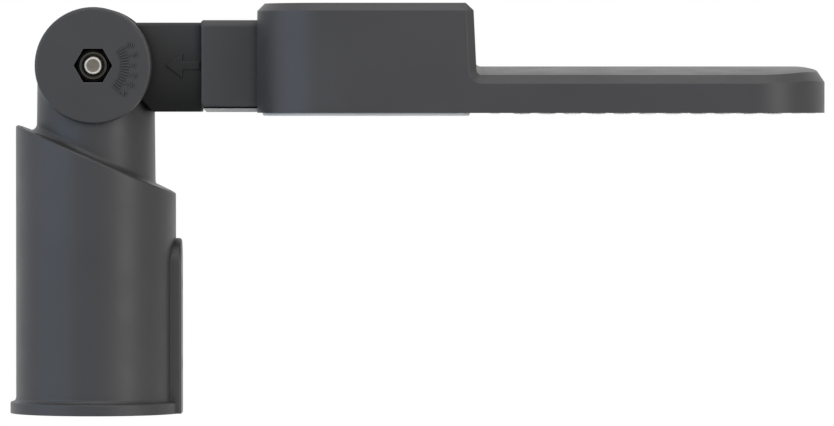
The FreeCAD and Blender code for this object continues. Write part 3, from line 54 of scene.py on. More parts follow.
# Backdrop: a white room. It shows as plain white to the camera, off gloss and through glass,
# and lights the object a little less.
def shows_as_background(tree):
    """1 for rays that see the backdrop: from the camera, off gloss and through glass."""
    path = tree.nodes.new("ShaderNodeLightPath")
    both = tree.nodes.new("ShaderNodeMath")
    both.operation = "MAXIMUM"
    tree.links.new(path.outputs["Is Camera Ray"], both.inputs[0])
    tree.links.new(path.outputs["Is Glossy Ray"], both.inputs[1])
    every = tree.nodes.new("ShaderNodeMath")
    every.operation = "MAXIMUM"
    tree.links.new(both.outputs[0], every.inputs[0])
    tree.links.new(path.outputs["Is Transmission Ray"], every.inputs[1])
    return every.outputs[0]


BACKDROP_WHITE = 1.0
BACKDROP_FILL = 0.45
world = bpy.data.worlds.new("backdrop")
bpy.context.scene.world = world
world.use_nodes = True
tree = world.node_tree
background = tree.nodes["Background"]
background.inputs["Color"].default_value = (1.0, 1.0, 1.0, 1.0)
strength = tree.nodes.new("ShaderNodeMapRange")
strength.inputs["To Min"].default_value = BACKDROP_FILL
strength.inputs["To Max"].default_value = BACKDROP_WHITE
tree.links.new(shows_as_background(tree), strength.inputs["Value"])
tree.links.new(strength.outputs["Result"], background.inputs["Strength"])


# Floor: pale and plain, well below the light, which hangs on a pole in use. It shows from
# above only, so that the underside can be looked at too.
FLOOR_LEVEL = -0.30
FLOOR_HALF = 12.0
FLOOR_GLOW = 0.72
FLOOR_GREY = 0.62
floor_mesh = bpy.data.meshes.new("floor")
corners = [(x * FLOOR_HALF, y * FLOOR_HALF, FLOOR_LEVEL)
           for x, y in ((-1, -1), (1, -1), (1, 1), (-1, 1))]
floor_mesh.from_pydata(corners, [], [(0, 1, 2, 3)])
floor = bpy.data.objects.new("floor", floor_mesh)
bpy.context.scene.collection.objects.link(floor)
paint = bpy.data.materials.new("floor_paint")
paint.use_nodes = True
floor_mesh.materials.append(paint)
tree = paint.node_tree
shader = tree.nodes["Principled BSDF"]
shader.inputs["Base Color"].default_value = (FLOOR_GREY, FLOOR_GREY, FLOOR_GREY, 1.0)
shader.inputs["Roughness"].default_value = 1.0
shader.inputs["Specular IOR Level"].default_value = 0.0
shader.inputs["Emission Color"].default_value = (1.0, 1.0, 1.0, 1.0)
glow = tree.nodes.new("ShaderNodeMath")
glow.operation = "MULTIPLY"
glow.inputs[1].default_value = FLOOR_GLOW
tree.links.new(shows_as_background(tree), glow.inputs[0])
tree.links.new(glow.outputs[0], shader.inputs["Emission Strength"])
facing = tree.nodes.new("ShaderNodeNewGeometry")
clear = tree.nodes.new("ShaderNodeBsdfTransparent")
one_sided = tree.nodes.new("ShaderNodeMixShader")
tree.links.new(facing.outputs["Backfacing"], one_sided.inputs[0])
tree.links.new(shader.outputs["BSDF"], one_sided.inputs[1])
tree.links.new(clear.outputs["BSDF"], one_sided.inputs[2])
tree.links.new(one_sided.outputs[0], tree.nodes["Material Output"].inputs["Surface"])


# Lamps: a wide bluish wall of light on the left, a narrower soft box on the right that makes
# the bright line down the round parts, and two weaker ones, high in front and overhead.
def soft_box(name, place, aim, width, height, power, colour=(1.0, 1.0, 1.0)):
    """A rectangular lamp that faces its aim; places and sizes in metres, power in watts."""
    lamp = bpy.data.objects.new(name, bpy.data.lights.new(name, "AREA"))
    lamp.data.shape = "RECTANGLE"
    lamp.data.size = width
    lamp.data.size_y = height
    lamp.data.energy = power
    lamp.data.color = colour
    lamp.location = place
    lamp.rotation_euler = (Vector(aim) - Vector(place)).to_track_quat("-Z", "Y").to_euler()
    bpy.context.scene.collection.objects.link(lamp)


soft_box("left_wall", (-2.4, -1.45, 0.7), (0.1, 0.0, 0.1), 2.8, 1.6, 29.0, (0.5, 0.72, 1.0))
soft_box("right_box", (2.3, -2.2, 0.6), (0.1, 0.0, 0.1), 1.2, 1.8, 28.0)
soft_box("front_box", (0.1, -2.2, 2.2), (0.15, 0.0, 0.1), 2.0, 1.0, 14.0)
soft_box("top_box", (0.2, -0.3, 2.4), (0.15, 0.0, 0.1), 2.2, 1.4, 14.0)


# Pole adaptor: the cup, neck and cheeks are one aluminium die casting, shot-blasted and
# finished with a fine satin powder coat in graphite grey.
def noise(tree, points, scale, detail=2.0, roughness=0.5):
    """Soft grain in object coordinates; scale is in waves per metre."""
    grain = tree.nodes.new("ShaderNodeTexNoise")
    grain.inputs["Scale"].default_value = scale
    grain.inputs["Detail"].default_value = detail
    grain.inputs["Roughness"].default_value = roughness
    tree.links.new(points, grain.inputs["Vector"])
    return grain.outputs["Fac"]


def ranged(tree, value, low, high, start=0.35, end=0.65):
    """The value's middle band spread over low to high, held there beyond it."""
    spread = tree.nodes.new("ShaderNodeMapRange")
    spread.inputs["From Min"].default_value = start
    spread.inputs["From Max"].default_value = end
    spread.inputs["To Min"].default_value = low
    spread.inputs["To Max"].default_value = high
    tree.links.new(value, spread.inputs["Value"])
    return spread.outputs["Result"]


def mixed(tree, amount, first, second):
    """From the first colour to the second as amount goes from 0 to 1."""
    mix = tree.nodes.new("ShaderNodeMix")
    mix.data_type = "RGBA"
    tree.links.new(amount, mix.inputs["Factor"])
    for socket, colour in (("A", first), ("B", second)):
        place = next(s for s in mix.inputs if s.name == socket and s.type == "RGBA")
        if isinstance(colour, tuple):
            place.default_value = (*colour, 1.0)
        else:
            tree.links.new(colour, place)
    return next(s for s in mix.outputs if s.type == "RGBA")


def bumped(tree, height, depth, normal=None):
    """Ripples the surface by the height, whose full range is the depth in metres."""
    bump = tree.nodes.new("ShaderNodeBump")
    bump.inputs["Distance"].default_value = depth
    tree.links.new(height, bump.inputs["Height"])
    if normal is not None:
        tree.links.new(normal, bump.inputs["Normal"])
    return bump.outputs["Normal"]


def new_finish(name, metallic=0.0, specular=0.5):
    """An empty finish: its node tree, its shader and its object coordinates."""
    finish = bpy.data.materials.new(name)
    finish.use_nodes = True
    shader = finish.node_tree.nodes["Principled BSDF"]
    shader.inputs["Metallic"].default_value = metallic
    shader.inputs["Specular IOR Level"].default_value = specular
    points = finish.node_tree.nodes.new("ShaderNodeTexCoord").outputs["Object"]
    return finish, finish.node_tree, shader, points


def shades(colour, dark, light):
    """A darker and a lighter shade of a colour, as the two ends of its drift."""
    return tuple(dark * c for c in colour), tuple(min(light * c, 1) for c in colour)


# The bevel's radius; the band of the bevel normal's meet that is painted as edge highlight; how far
# the ambient occlusion reaches and the band of it that paints shade into creases.
EDGE_RADIUS = 0.0007
EDGE_HIGHLIGHT_BAND = (0.80, 0.995)
CREASE_SHADE_REACH = 0.006
CREASE_SHADE_BAND = (0.4, 0.85)


def powder_coat(name, colour, edge_highlight, roughness, specular, shade_below=None, crease_shade=0.1):
    """Powder coat over a casting. Its tint and gloss drift slowly over the part and a fine
    orange peel ripples it. Along rounded edges, where the normal of a small bevel leaves the
    flat one, it is painted in the lighter second colour: a painted highlight, where the coat
    also thins. Given a bottom colour and two heights, it is painted darker towards the
    bottom, from that colour below the lower height to its own above the higher: painted
    shade. Ambient occlusion paints shade into creases and recesses, which keep the given
    share of the colour."""
    finish, tree, shader, points = new_finish(name, specular=specular)
    links = tree.links
    bevel = tree.nodes.new("ShaderNodeBevel")
    bevel.samples = 6
    bevel.inputs["Radius"].default_value = EDGE_RADIUS
    flat = tree.nodes.new("ShaderNodeNewGeometry")
    meet = tree.nodes.new("ShaderNodeVectorMath")
    meet.operation = "DOT_PRODUCT"
    links.new(bevel.outputs["Normal"], meet.inputs[0])
    links.new(flat.outputs["Normal"], meet.inputs[1])
    # Painted highlight along rounded edges, where the bevel's normal leaves the flat one.
    edge_highlight_mask = ranged(tree, meet.outputs["Value"], 1.0, 0.0, *EDGE_HIGHLIGHT_BAND)
    drift = ranged(tree, noise(tree, points, 17.0, 3.0), 0.0, 1.0)
    body = mixed(tree, drift, *shades(colour, 0.93, 1.06))
    # Painted shade in creases and recesses, from ambient occlusion.
    corner = tree.nodes.new("ShaderNodeAmbientOcclusion")
    corner.samples = 6
    corner.inputs["Distance"].default_value = CREASE_SHADE_REACH
    # Painted shade: the coat darker towards the bottom.
    if shade_below:
        bottom_shade, low, high = shade_below
        split = tree.nodes.new("ShaderNodeSeparateXYZ")
        links.new(points, split.inputs["Vector"])
        body = mixed(tree, ranged(tree, split.outputs["Z"], 0.0, 1.0, low, high), bottom_shade, body)
    body = mixed(tree, edge_highlight_mask, body, edge_highlight)
    # Painted shade where the occlusion is deep.
    painted_crease_shade = ranged(tree, corner.outputs["AO"], 0.0, 1.0, *CREASE_SHADE_BAND)
    links.new(mixed(tree, painted_crease_shade, tuple(crease_shade * c for c in colour), body),
              shader.inputs["Base Color"])
    blotch = ranged(tree, noise(tree, points, 60.0, 4.0), roughness - 0.03, roughness + 0.03)
    links.new(blotch, shader.inputs["Roughness"])
    peel = noise(tree, points, 900.0, 2.0, 0.6)
    links.new(bumped(tree, peel, 0.00004, bevel.outputs["Normal"]), shader.inputs["Normal"])
    return finish


def dress(node, finish):
    """Gives a CAD node its finish."""
    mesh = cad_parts[node].data
    mesh.materials.clear()
    mesh.materials.append(finish)


# Its second colour is the painted highlight along rounded edges.
graphite_coat = powder_coat("graphite_coat", (0.0420, 0.0408, 0.0420), (0.105, 0.104, 0.106),
                            0.42, 0.35)
dress("pole_adaptor", graphite_coat)


# Tilt scale on the near cheek: short raised bars every five degrees and plain numbers, cast
# with the adaptor and coated with it. The arrow on the arm points at the tilt.
KNUCKLE = np.array((0.0, 0.0, 182.2))
CHEEK_FACE = -34.0
BAR_INNER = 14.4
BAR_OUTER = 18.6
BAR_LONG = 20.2
BAR_WIDTH = 0.6
BAR_HEIGHT = 0.65
BAR_SUNK = 0.1
BAR_DRAFT = 0.1
BAR_STEP = 5.0
BARS = 16
LONG_EVERY = 3
LOWEST_BAR = -45.0
NUMBER_RADIUS = 20.8
NUMBER_SIZE = 3.4
NUMBER_HALF_DEPTH = 0.55
NUMBER_SWELL = 0.02
NUMBERS = ((-45.0, "45"), (-30.0, "30"), (-15.0, "15"), (0.0, "0"), (15.0, "15"), (30.0, "30"))


def new_piece(name, points, faces, finish, body, slot, crease=28.0):
    """A piece from points in millimetres: doubles merged, so that poles and seams close,
    faces turned outwards, edges sharper than the crease angle kept sharp."""
    mesh = bpy.data.meshes.new(name)
    mesh.from_pydata((points * 0.001).tolist(), [], faces.tolist())
    shape = bmesh.new()
    shape.from_mesh(mesh)
    bmesh.ops.remove_doubles(shape, verts=shape.verts, dist=1e-6)
    bmesh.ops.recalc_face_normals(shape, faces=shape.faces)
    shape.to_mesh(mesh)
    shape.free()
    mesh.shade_smooth()
    mesh.set_sharp_from_angle(angle=math.radians(crease))
    mesh.materials.append(finish)
    piece = bpy.data.objects.new(name, mesh)
    bpy.context.scene.collection.objects.link(piece)
    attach(piece, body)
    return piece


def scale_bars():
    """Each bar is a six-faced wedge: its foot runs from the inner to the outer radius at its
    own angle, and its top is narrower than its foot by the draft of the die."""
    angle = np.radians(LOWEST_BAR + np.arange(BARS) * BAR_STEP)
    outer = np.where(np.arange(BARS) % LONG_EVERY == 0, BAR_LONG, BAR_OUTER)
    along = np.stack((np.cos(angle), np.zeros(BARS), np.sin(angle)), -1)
    across = np.stack((-np.sin(angle), np.zeros(BARS), np.cos(angle)), -1)
    foot, top = BAR_WIDTH / 2, BAR_WIDTH / 2 - BAR_DRAFT
    corners = []
    for half, level in ((foot, CHEEK_FACE + BAR_SUNK), (top, CHEEK_FACE - BAR_HEIGHT)):
        for reach, side in ((BAR_INNER, -half), (outer, -half), (outer, half), (BAR_INNER, half)):
            spot = along * np.broadcast_to(reach, BARS)[:, None] + across * side
            corners.append(spot + KNUCKLE + (0.0, level, 0.0))
    points = np.stack(corners, 1).reshape(-1, 3)
    sides = np.array(((0, 1, 2, 3), (4, 7, 6, 5), (0, 4, 5, 1),
                      (1, 5, 6, 2), (2, 6, 7, 3), (3, 7, 4, 0)))
    faces = (sides[None] + 8 * np.arange(BARS)[:, None, None]).reshape(-1, 4)
    return points, faces


new_piece("scale_bars", *scale_bars(), graphite_coat, "adaptor", "cast_graphite")

for angle, digits in NUMBERS:
    text = bpy.data.curves.new("scale_number", "FONT")
    text.body = digits
    text.size = NUMBER_SIZE
    text.extrude = NUMBER_HALF_DEPTH
    text.offset = NUMBER_SWELL
    text.resolution_u = 3
    text.align_x = "LEFT"
    text.align_y = "CENTER"
    drawn = bpy.data.objects.new("scale_number", text)
    bpy.context.scene.collection.objects.link(drawn)
    bpy.context.view_layer.update()
    flat = bpy.data.meshes.new_from_object(drawn)
    bpy.data.objects.remove(drawn)
    spots = np.empty(len(flat.vertices) * 3)
    flat.vertices.foreach_get("co", spots)
    spots = spots.reshape(-1, 3)
    turn = math.radians(angle)
    centre = KNUCKLE + (NUMBER_RADIUS * math.cos(turn), CHEEK_FACE, NUMBER_RADIUS * math.sin(turn))
    placed = np.stack((spots[:, 0], -spots[:, 2], spots[:, 1]), -1) + centre
    flat.vertices.foreach_set("co", (placed * 0.001).ravel())
    flat.materials.clear()
    flat.materials.append(graphite_coat)
    number = bpy.data.objects.new("scale_number_%d" % (angle + 90), flat)
    bpy.context.scene.collection.objects.link(number)
    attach(number, "adaptor")


# Pole screws: two black set screws in the screw pad clamp the pole. Each has a rolled thread,
# a key socket in its outer face and a cup point.
def spokes(columns):
    """How far round each column stands, from 0 to 1."""
    return np.arange(columns) / columns


def hexagon(columns, across):
    """Radius of a hexagon of that width across flats, with a corner at the first column."""
    part = (spokes(columns) * 6) % 1.0
    return across / 2 / np.cos(math.pi / 3 * (part - 0.5))


def rows_of(columns, *rows):
    """Rows of (along, radius), each a number or one value a column, as two arrays."""
    along = np.array([np.broadcast_to(row[0], columns) for row in rows])
    radius = np.array([np.broadcast_to(row[1], columns) for row in rows])
    return along, radius


def thread(columns, start, end, radius, pitch, steps=4):
    """Rows of a screw thread: its radius falls from crest to root and back once a pitch, and
    a turn round the screw moves that wave on by one pitch. It runs out at both ends."""
    count = max(int(abs(end - start) / pitch * steps), 2)
    along = np.linspace(start, end, count + 1)[:, None] + np.zeros(columns)
    wave = np.abs(2 * ((along / pitch - spokes(columns)) % 1.0) - 1)
    fade = np.clip(np.minimum(np.abs(along - start), np.abs(end - along)) / pitch, 0, 1)
    return along, radius - 0.55 * pitch * wave * fade


def strung(parts, axis, centre):
    """Points of rings strung on an axis: each stands at along on the axis and at radius from
    it, at equal angles round it. An axis along y starts its angles at x and turns to z."""
    along = np.concatenate([part[0] for part in parts])
    radius = np.concatenate([part[1] for part in parts])
    turn = 2 * math.pi * spokes(radius.shape[1])
    main = "xyz".index(axis)
    first, second = [i for i in range(3) if i != main]
    points = np.empty(radius.shape + (3,))
    points[..., main] = along
    points[..., first] = radius * np.cos(turn)
    points[..., second] = radius * np.sin(turn)
    offset = np.array(centre, float)
    offset[main] = 0.0
    return points + offset


def grid_faces(rows, columns, rows_close, start):
    """Four-sided faces between neighbouring points of a grid whose columns run right round;
    rows_close also joins the last row to the first."""
    last = rows if rows_close else rows - 1
    i, j = np.meshgrid(np.arange(last), np.arange(columns), indexing="ij")
    row, next_row = i * columns, (i + 1) % rows * columns
    beside = (j + 1) % columns
    corners = (row + j, row + beside, next_row + beside, next_row + j)
    return np.stack(corners, -1).reshape(-1, 4) + start


def turned(name, parts, axis, centre, finish, body, slot, ring=False, crease=28.0):
    """A piece made of rings on one axis; a ring section joins its last row to its first."""
    points = strung(parts, axis, centre)
    rows, columns = points.shape[:2]
    faces = grid_faces(rows, columns, ring, 0)
    return new_piece(name, points.reshape(-1, 3), faces, finish, body, slot, crease)


def machined_steel(name, colour, roughness, metallic=1.0, marks=2600.0):
    """Plated or blackened steel: fine tool marks and slightly uneven tone and gloss."""
    finish, tree, shader, points = new_finish(name, metallic)
    tone = ranged(tree, noise(tree, points, 420.0, 3.0), 0.0, 1.0)
    tree.links.new(mixed(tree, tone, *shades(colour, 0.86, 1.08)), shader.inputs["Base Color"])
    tree.links.new(ranged(tree, noise(tree, points, 900.0), roughness - 0.06, roughness + 0.08),
                   shader.inputs["Roughness"])
    tree.links.new(bumped(tree, noise(tree, points, marks), 0.000008), shader.inputs["Normal"])
    return finish


blackened = machined_steel("black_oxide_steel", (0.028, 0.028, 0.03), 0.42, 0.6)
SET_COLUMNS = 48
SET_FACE = 45.2
SET_LENGTH = 6.0
SET_RADIUS = 4.0
for body, level in (("pole_screw_lower", 26.0), ("pole_screw_upper", 68.0)):
    socket = hexagon(SET_COLUMNS, 4.0)
    tip = SET_FACE - SET_LENGTH
    parts = [
        rows_of(SET_COLUMNS, (SET_FACE - 3.9, 0.0), (SET_FACE - 3.5, socket * 0.93),
                (SET_FACE - 0.35, socket), (SET_FACE, 2.65), (SET_FACE, 3.25),
                (SET_FACE - 0.3, 3.6)),
        thread(SET_COLUMNS, SET_FACE - 0.5, tip + 1.3, SET_RADIUS, 1.25, 6),
        rows_of(SET_COLUMNS, (tip + 0.3, 3.0), (tip, 2.7), (tip, 2.3), (tip + 0.6, 0.9),
                (tip + 0.7, 0.0)),
    ]
    screw = turned(body + "_cut", parts, "x", (0, 0, level), blackened, body, "black_steel")
    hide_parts(body)


# Knuckle bolt: a zinc-plated cap screw with a knurled head, driven from the far side. Its
# thread comes out of the nut with a chamfered, slightly dished end.
zinc = machined_steel("zinc_plate", (0.52, 0.50, 0.465), 0.26)
BOLT_COLUMNS = 72
BOLT_TOP = 33.4
BOLT_SEAT = 26.4
BOLT_END = -33.7
KNURLS = 36
DISH_RADIUS = 3.3
DISH_DEPTH = 0.4


def face_middles(piece):
    """The middle of each face of a piece, in millimetres."""
    middles = np.empty(len(piece.data.polygons) * 3)
    piece.data.polygons.foreach_get("center", middles)
    return middles.reshape(-1, 3) * 1000


def second_finish(piece, finish, chosen):
    """Gives the chosen faces of a piece another finish."""
    piece.data.materials.append(finish)
    piece.data.polygons.foreach_set("material_index", chosen.astype(np.int32))


def knurled(columns, radius, count):
    """Radius of a straight knurl: a tooth falls and rises again count times round."""
    return radius - 0.22 * np.abs(2 * ((spokes(columns) * count) % 1.0) - 1)


socket = hexagon(BOLT_COLUMNS, 7.0)
knurl = knurled(BOLT_COLUMNS, 8.0, KNURLS)
parts = [
    rows_of(BOLT_COLUMNS, (BOLT_TOP - 4.2, 0.0), (BOLT_TOP - 3.5, socket * 0.95),
            (BOLT_TOP - 0.4, socket), (BOLT_TOP, 4.4), (BOLT_TOP, 7.2),
            (BOLT_TOP - 0.15, 7.55), (BOLT_TOP - 0.5, 7.72), (BOLT_TOP - 0.8, knurl),
            (BOLT_SEAT + 0.9, knurl), (BOLT_SEAT + 0.6, 7.75), (BOLT_SEAT + 0.1, 7.7),
            (BOLT_SEAT, 7.5), (BOLT_SEAT, 5.5), (BOLT_SEAT - 0.4, 5.0)),
    thread(BOLT_COLUMNS, -18.0, BOLT_END + 1.0, 5.0, 1.5, 8),
    rows_of(BOLT_COLUMNS, (BOLT_END + 0.75, 4.9), (BOLT_END + 0.3, 4.55), (BOLT_END, 4.2),
            (BOLT_END, 3.9), (BOLT_END + 0.12, 3.5), (BOLT_END + 0.3, 2.9),
            (BOLT_END + 0.36, 1.4), (BOLT_END + 0.38, 0.0)),
]
bolt = turned("knuckle_bolt_turned", parts, "y", KNUCKLE, zinc, "adaptor", "zinc_steel",
              crease=40.0)
middle = face_middles(bolt) - KNUCKLE
dished = ((middle[:, 1] < BOLT_END + DISH_DEPTH)
          & (np.hypot(middle[:, 0], middle[:, 2]) < DISH_RADIUS))
cropped = machined_steel("cropped_end", (0.150, 0.135, 0.112), 0.45, 0.9, 900.0)
second_finish(bolt, cropped, dished)
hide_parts("knuckle_bolt")


# Washer under the bolt's head: zinc-plated steel on the far cheek. It is stamped, so its
# outer edge is rolled on one face.
parts = [rows_of(64, (24.8, 5.05), (24.8, 8.75), (24.95, 9.0), (26.1, 9.0), (26.4, 8.7),
                 (26.4, 5.25), (26.3, 5.05))]
washer = turned("knuckle_washer_stamped", parts, "y", KNUCKLE, zinc, "adaptor", "zinc_steel",
                ring=True)
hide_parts("knuckle_washer")


# Locking nut: its hexagon sits in the cheek's pocket, and its collar is rolled in over the
# nylon ring that grips the bolt.
NUT_COLUMNS = 72
NUT_SEAT = -24.8
NUT_END = -32.6
NUT_HEX_END = -30.4
COLLAR_RADIUS = 7.45
dull_nut = machined_steel("dull_plated_nut", (0.042, 0.038, 0.030), 0.45, 0.85)
flats = hexagon(NUT_COLUMNS, 17.0)
parts = [rows_of(
    NUT_COLUMNS, (NUT_SEAT, 5.3), (NUT_SEAT - 0.4, 5.0), (NUT_END + 2.0, 5.0),
    (NUT_END + 2.0, 6.5),
    (NUT_END + 0.5, 6.5), (NUT_END + 0.3, 6.1), (NUT_END + 0.08, 6.0), (NUT_END, 6.12),
    (NUT_END, 6.9), (NUT_END + 0.08, 7.1), (NUT_END + 0.35, 7.3), (NUT_END + 1.0, 7.4),
    (NUT_HEX_END - 0.3, 7.4), (NUT_HEX_END, 7.7), (NUT_HEX_END, 8.2),
    (NUT_HEX_END + 0.5, np.minimum(flats, 9.1)), (NUT_HEX_END + 0.9, flats),
    (NUT_SEAT - 0.5, flats), (NUT_SEAT - 0.2, np.minimum(flats, 9.1)), (NUT_SEAT, 8.3))]
nut = turned("knuckle_nut_rolled", parts, "y", KNUCKLE, dull_nut, "adaptor", "black_steel",
             ring=True)
middle = face_middles(nut) - KNUCKLE
outside_collar = np.hypot(middle[:, 0], middle[:, 2]) > COLLAR_RADIUS
oiled_steel = machined_steel("oiled_black_steel", (0.006, 0.006, 0.006), 0.5, 0.9)
second_finish(nut, oiled_steel, outside_collar)
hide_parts("knuckle_nut")


# Locking ring: nylon, pressed round the bolt's thread inside the nut's collar. It lies deep
# in shade, so it has a darker finish than the other nylon pieces.
def moulded(name, colour, roughness, grain=1500.0, depth=0.00001, specular=0.45):
    """Moulded plastic or rubber: a fine spark-eroded grain and slightly uneven tone."""
    finish, tree, shader, points = new_finish(name, specular=specular)
    tone = ranged(tree, noise(tree, points, 45.0, 3.0), 0.0, 1.0)
    tree.links.new(mixed(tree, tone, *shades(colour, 0.92, 1.05)), shader.inputs["Base Color"])
    tree.links.new(ranged(tree, noise(tree, points, 160.0, 3.0), roughness - 0.05, roughness + 0.05),
                   shader.inputs["Roughness"])
    tree.links.new(bumped(tree, noise(tree, points, grain, 1.0), depth), shader.inputs["Normal"])
    return finish


shaded_nylon = moulded("shaded_nylon", (0.004, 0.004, 0.004), 0.6, specular=0.12)
parts = [rows_of(64, (-30.6, 5.0), (-30.6, 6.48), (-32.0, 6.48), (-32.25, 6.25), (-32.3, 5.7),
                 (-32.15, 5.2), (-31.9, 5.0))]
ring = turned("locking_ring", parts, "y", KNUCKLE, shaded_nylon, "adaptor", "black_nylon",
              ring=True)
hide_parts("nut_locking_ring")


# Tilt arm: a hollow aluminium casting with a raised arrow on its side, in a darker and more
# matt coat than the rest.
# Its second colour is the painted highlight along rounded edges, and the last colour and heights
# paint the coat darker towards the bottom of the arm, as painted shade.
black_coat = powder_coat("black_coat", (0.047, 0.0465, 0.0465), (0.058, 0.058, 0.058), 0.52, 0.17,
                         ((0.001, 0.001, 0.001), 0.163, 0.212))
dress("tilt_arm", black_coat)


# Housing: one aluminium casting with the collar, the gear box and the thin lamp panel, in the
# same coat as the adaptor.
dress("housing", graphite_coat)


# Spigot screws: two zinc-plated cap screws with knurled heads inside the collar. They are
# driven up into the arm's spigot and hold the head on the arm.
def screw(columns, face, seat, tip, head, shank, pitch, recess, recess_depth, knurls=0):
    """Rings of a screw that points up: a recess in the head's face, a rounded head, then the
    thread. A knurled head has straight sides, and another one is domed."""
    height = seat - face
    parts = [rows_of(columns, (face + recess_depth * 1.15, 0.0),
                     (face + recess_depth, recess * 0.9), (face + 0.2, recess),
                     (face, np.max(recess) + 0.2))]
    if knurls:
        side = knurled(columns, head, knurls)
        parts.append(rows_of(columns, (face, head * 0.9), (face + 0.3, head * 0.96),
                             (face + 0.55, side), (seat - 0.5, side), (seat - 0.3, head * 0.96)))
    else:
        parts.append(rows_of(columns, (face + height * 0.04, head * 0.72),
                             (face + height * 0.22, head * 0.9),
                             (face + height * 0.55, head * 0.985), (seat - height * 0.12, head)))
    parts.append(rows_of(columns, (seat, head * 0.97), (seat, shank * 1.12)))
    parts.append(thread(columns, seat + 0.1, tip - shank * 0.4, shank, pitch))
    parts.append(rows_of(columns, (tip - shank * 0.12, shank * 0.72), (tip, shank * 0.5),
                         (tip, 0.0)))
    return parts


def repeated(name, places, parts, *nodes, finish=zinc, slot="zinc_steel"):
    """One piece of the head made of several alike: the same rings, set at each place."""
    points = strung(parts, "z", (0, 0, 0))
    rows, columns = points.shape[:2]
    spots = np.array([(x, y, 0.0) for x, y in places])
    every = (points.reshape(1, -1, 3) + spots[:, None, :]).reshape(-1, 3)
    faces = np.concatenate([grid_faces(rows, columns, False, rows * columns * i)
                            for i in range(len(places))])
    piece = new_piece(name, every, faces, finish, "head", slot, 35.0)
    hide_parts(*nodes)
    return piece


repeated("spigot_cap_screws", [(65.5, 0.0), (77.5, 0.0)],
         screw(60, 160.3, 165.9, 174.9, 5.0, 3.0, 1.0, hexagon(60, 5.0), 2.8, 30),
         "spigot_screws")


# Collar cover: a thin cast strip in a light grey coat, held under the collar by two small
# star-recess screws.
def six_lobe(columns, radius):
    """Radius of a star recess of six round lobes."""
    return radius * (1 + 0.13 * np.cos(12 * math.pi * spokes(columns)))


# The grey coat's creases keep nine tenths of its colour under painted shade, and its second colour
# is the painted highlight along rounded edges.
dress("collar_cover", powder_coat("grey_coat", (0.40, 0.385, 0.36), (0.48, 0.47, 0.45), 0.42, 0.45,
                                  crease_shade=0.9))
repeated("collar_cover_star_screws", [(71.35, -17.5), (71.35, 17.5)],
         screw(36, 158.0, 158.95, 164.95, 2.8, 1.5, 0.7, six_lobe(36, 1.2), 0.6),
         "collar_cover_screws")


# Gear cover: a cast lid under the gear box in a pale coat, with a silicone gasket and four
# star-recess screws in sunk seats.
silicone = moulded("grey_silicone", (0.16, 0.16, 0.16), 0.62, 900.0, 0.000015, 0.35)
# The pale coat's creases keep nine tenths of its colour under painted shade, and its second colour
# is the painted highlight along rounded edges.
dress("gear_cover", powder_coat("pale_coat", (0.76, 0.75, 0.74), (0.82, 0.82, 0.81), 0.42, 0.45,
                                crease_shade=0.9))
dress("gear_cover_seal", silicone)
repeated("gear_cover_star_screws",
         [(104.135, -56.365), (104.135, 56.365), (188.415, -64.68), (188.415, 64.68)],
         screw(48, 156.15, 157.7, 172.9, 4.0, 2.0, 0.9, six_lobe(48, 1.9), 1.1),
         "gear_cover_screws")


# Breather plug: a black nylon screw plug that lets the gear box breathe. Its flange has
# finger notches, and a ring of slots round a domed cap lets the air pass.
dark_nylon = moulded("dark_nylon", (0.022, 0.022, 0.023), 0.5)
VENT = (182.12, -40.0, 0.0)
VENT_COLUMNS = 72
notch = 8.0 - 0.35 * np.clip(np.cos(24 * math.pi * spokes(VENT_COLUMNS)), 0, 1)
slot_depth = 0.7 * (np.cos(16 * math.pi * spokes(VENT_COLUMNS)) > 0.2)
parts = [
    rows_of(VENT_COLUMNS, (156.35, 0.0), (156.32, 1.6), (156.2, 2.9), (156.15, 3.6),
            (156.2 + slot_depth, 3.9), (156.2 + slot_depth, 4.9), (156.12, 5.2),
            (156.1, 6.6), (156.2, notch - 0.3), (156.45, notch), (157.1, notch),
            (157.3, notch - 0.25), (157.3, 5.1), (157.6, 5.0)),
    thread(VENT_COLUMNS, 157.8, 161.5, 5.0, 1.5, 6),
    rows_of(VENT_COLUMNS, (161.8, 4.5), (162.1, 4.1), (162.1, 0.0)),
]
plug = turned("breather_plug_moulded", parts, "z", VENT, dark_nylon, "head", "black_nylon")
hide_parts("breather_plug")


# Lamp board: white solder mask over aluminium, with copper tracks that show faintly through
# it, and sixty-six light sources.
def solder_mask():
    """White lacquer. A pattern of tracks and gaps, as bricks laid along the rows of light
    sources, stands a little proud and a little warmer where copper lies under it."""
    finish, tree, shader, points = new_finish("solder_mask")
    tracks = tree.nodes.new("ShaderNodeTexBrick")
    tracks.inputs["Scale"].default_value = 1.0
    tracks.inputs["Brick Width"].default_value = 0.026
    tracks.inputs["Row Height"].default_value = 0.011
    tracks.inputs["Mortar Size"].default_value = 0.0006
    tracks.inputs["Mortar Smooth"].default_value = 0.3
    tree.links.new(points, tracks.inputs["Vector"])
    tree.links.new(mixed(tree, tracks.outputs["Fac"], (0.80, 0.78, 0.73), (0.86, 0.86, 0.85)),
                   shader.inputs["Base Color"])
    tree.links.new(ranged(tree, noise(tree, points, 300.0), 0.28, 0.36), shader.inputs["Roughness"])
    tree.links.new(bumped(tree, tracks.outputs["Fac"], -0.00003), shader.inputs["Normal"])
    return finish


dress("led_board", solder_mask())

LED_COLUMNS = 16
LED_FACE = 161.0
BOARD_FACE = 162.0
LED_START = 222.9
LED_PITCH = np.array((13.0, 22.0))
LEDS_ALONG = 11
LED_ROWS = 6
PHOSPHOR_RADIUS = 1.32
PHOSPHOR_DEPTH = 0.3
lens_x = LED_START + LED_PITCH[0] * np.arange(LEDS_ALONG)
lens_y = LED_PITCH[1] * (np.arange(LED_ROWS) - (LED_ROWS - 1) / 2)
lens_places = np.stack(np.meshgrid(lens_x, lens_y), -1).reshape(-1, 2)


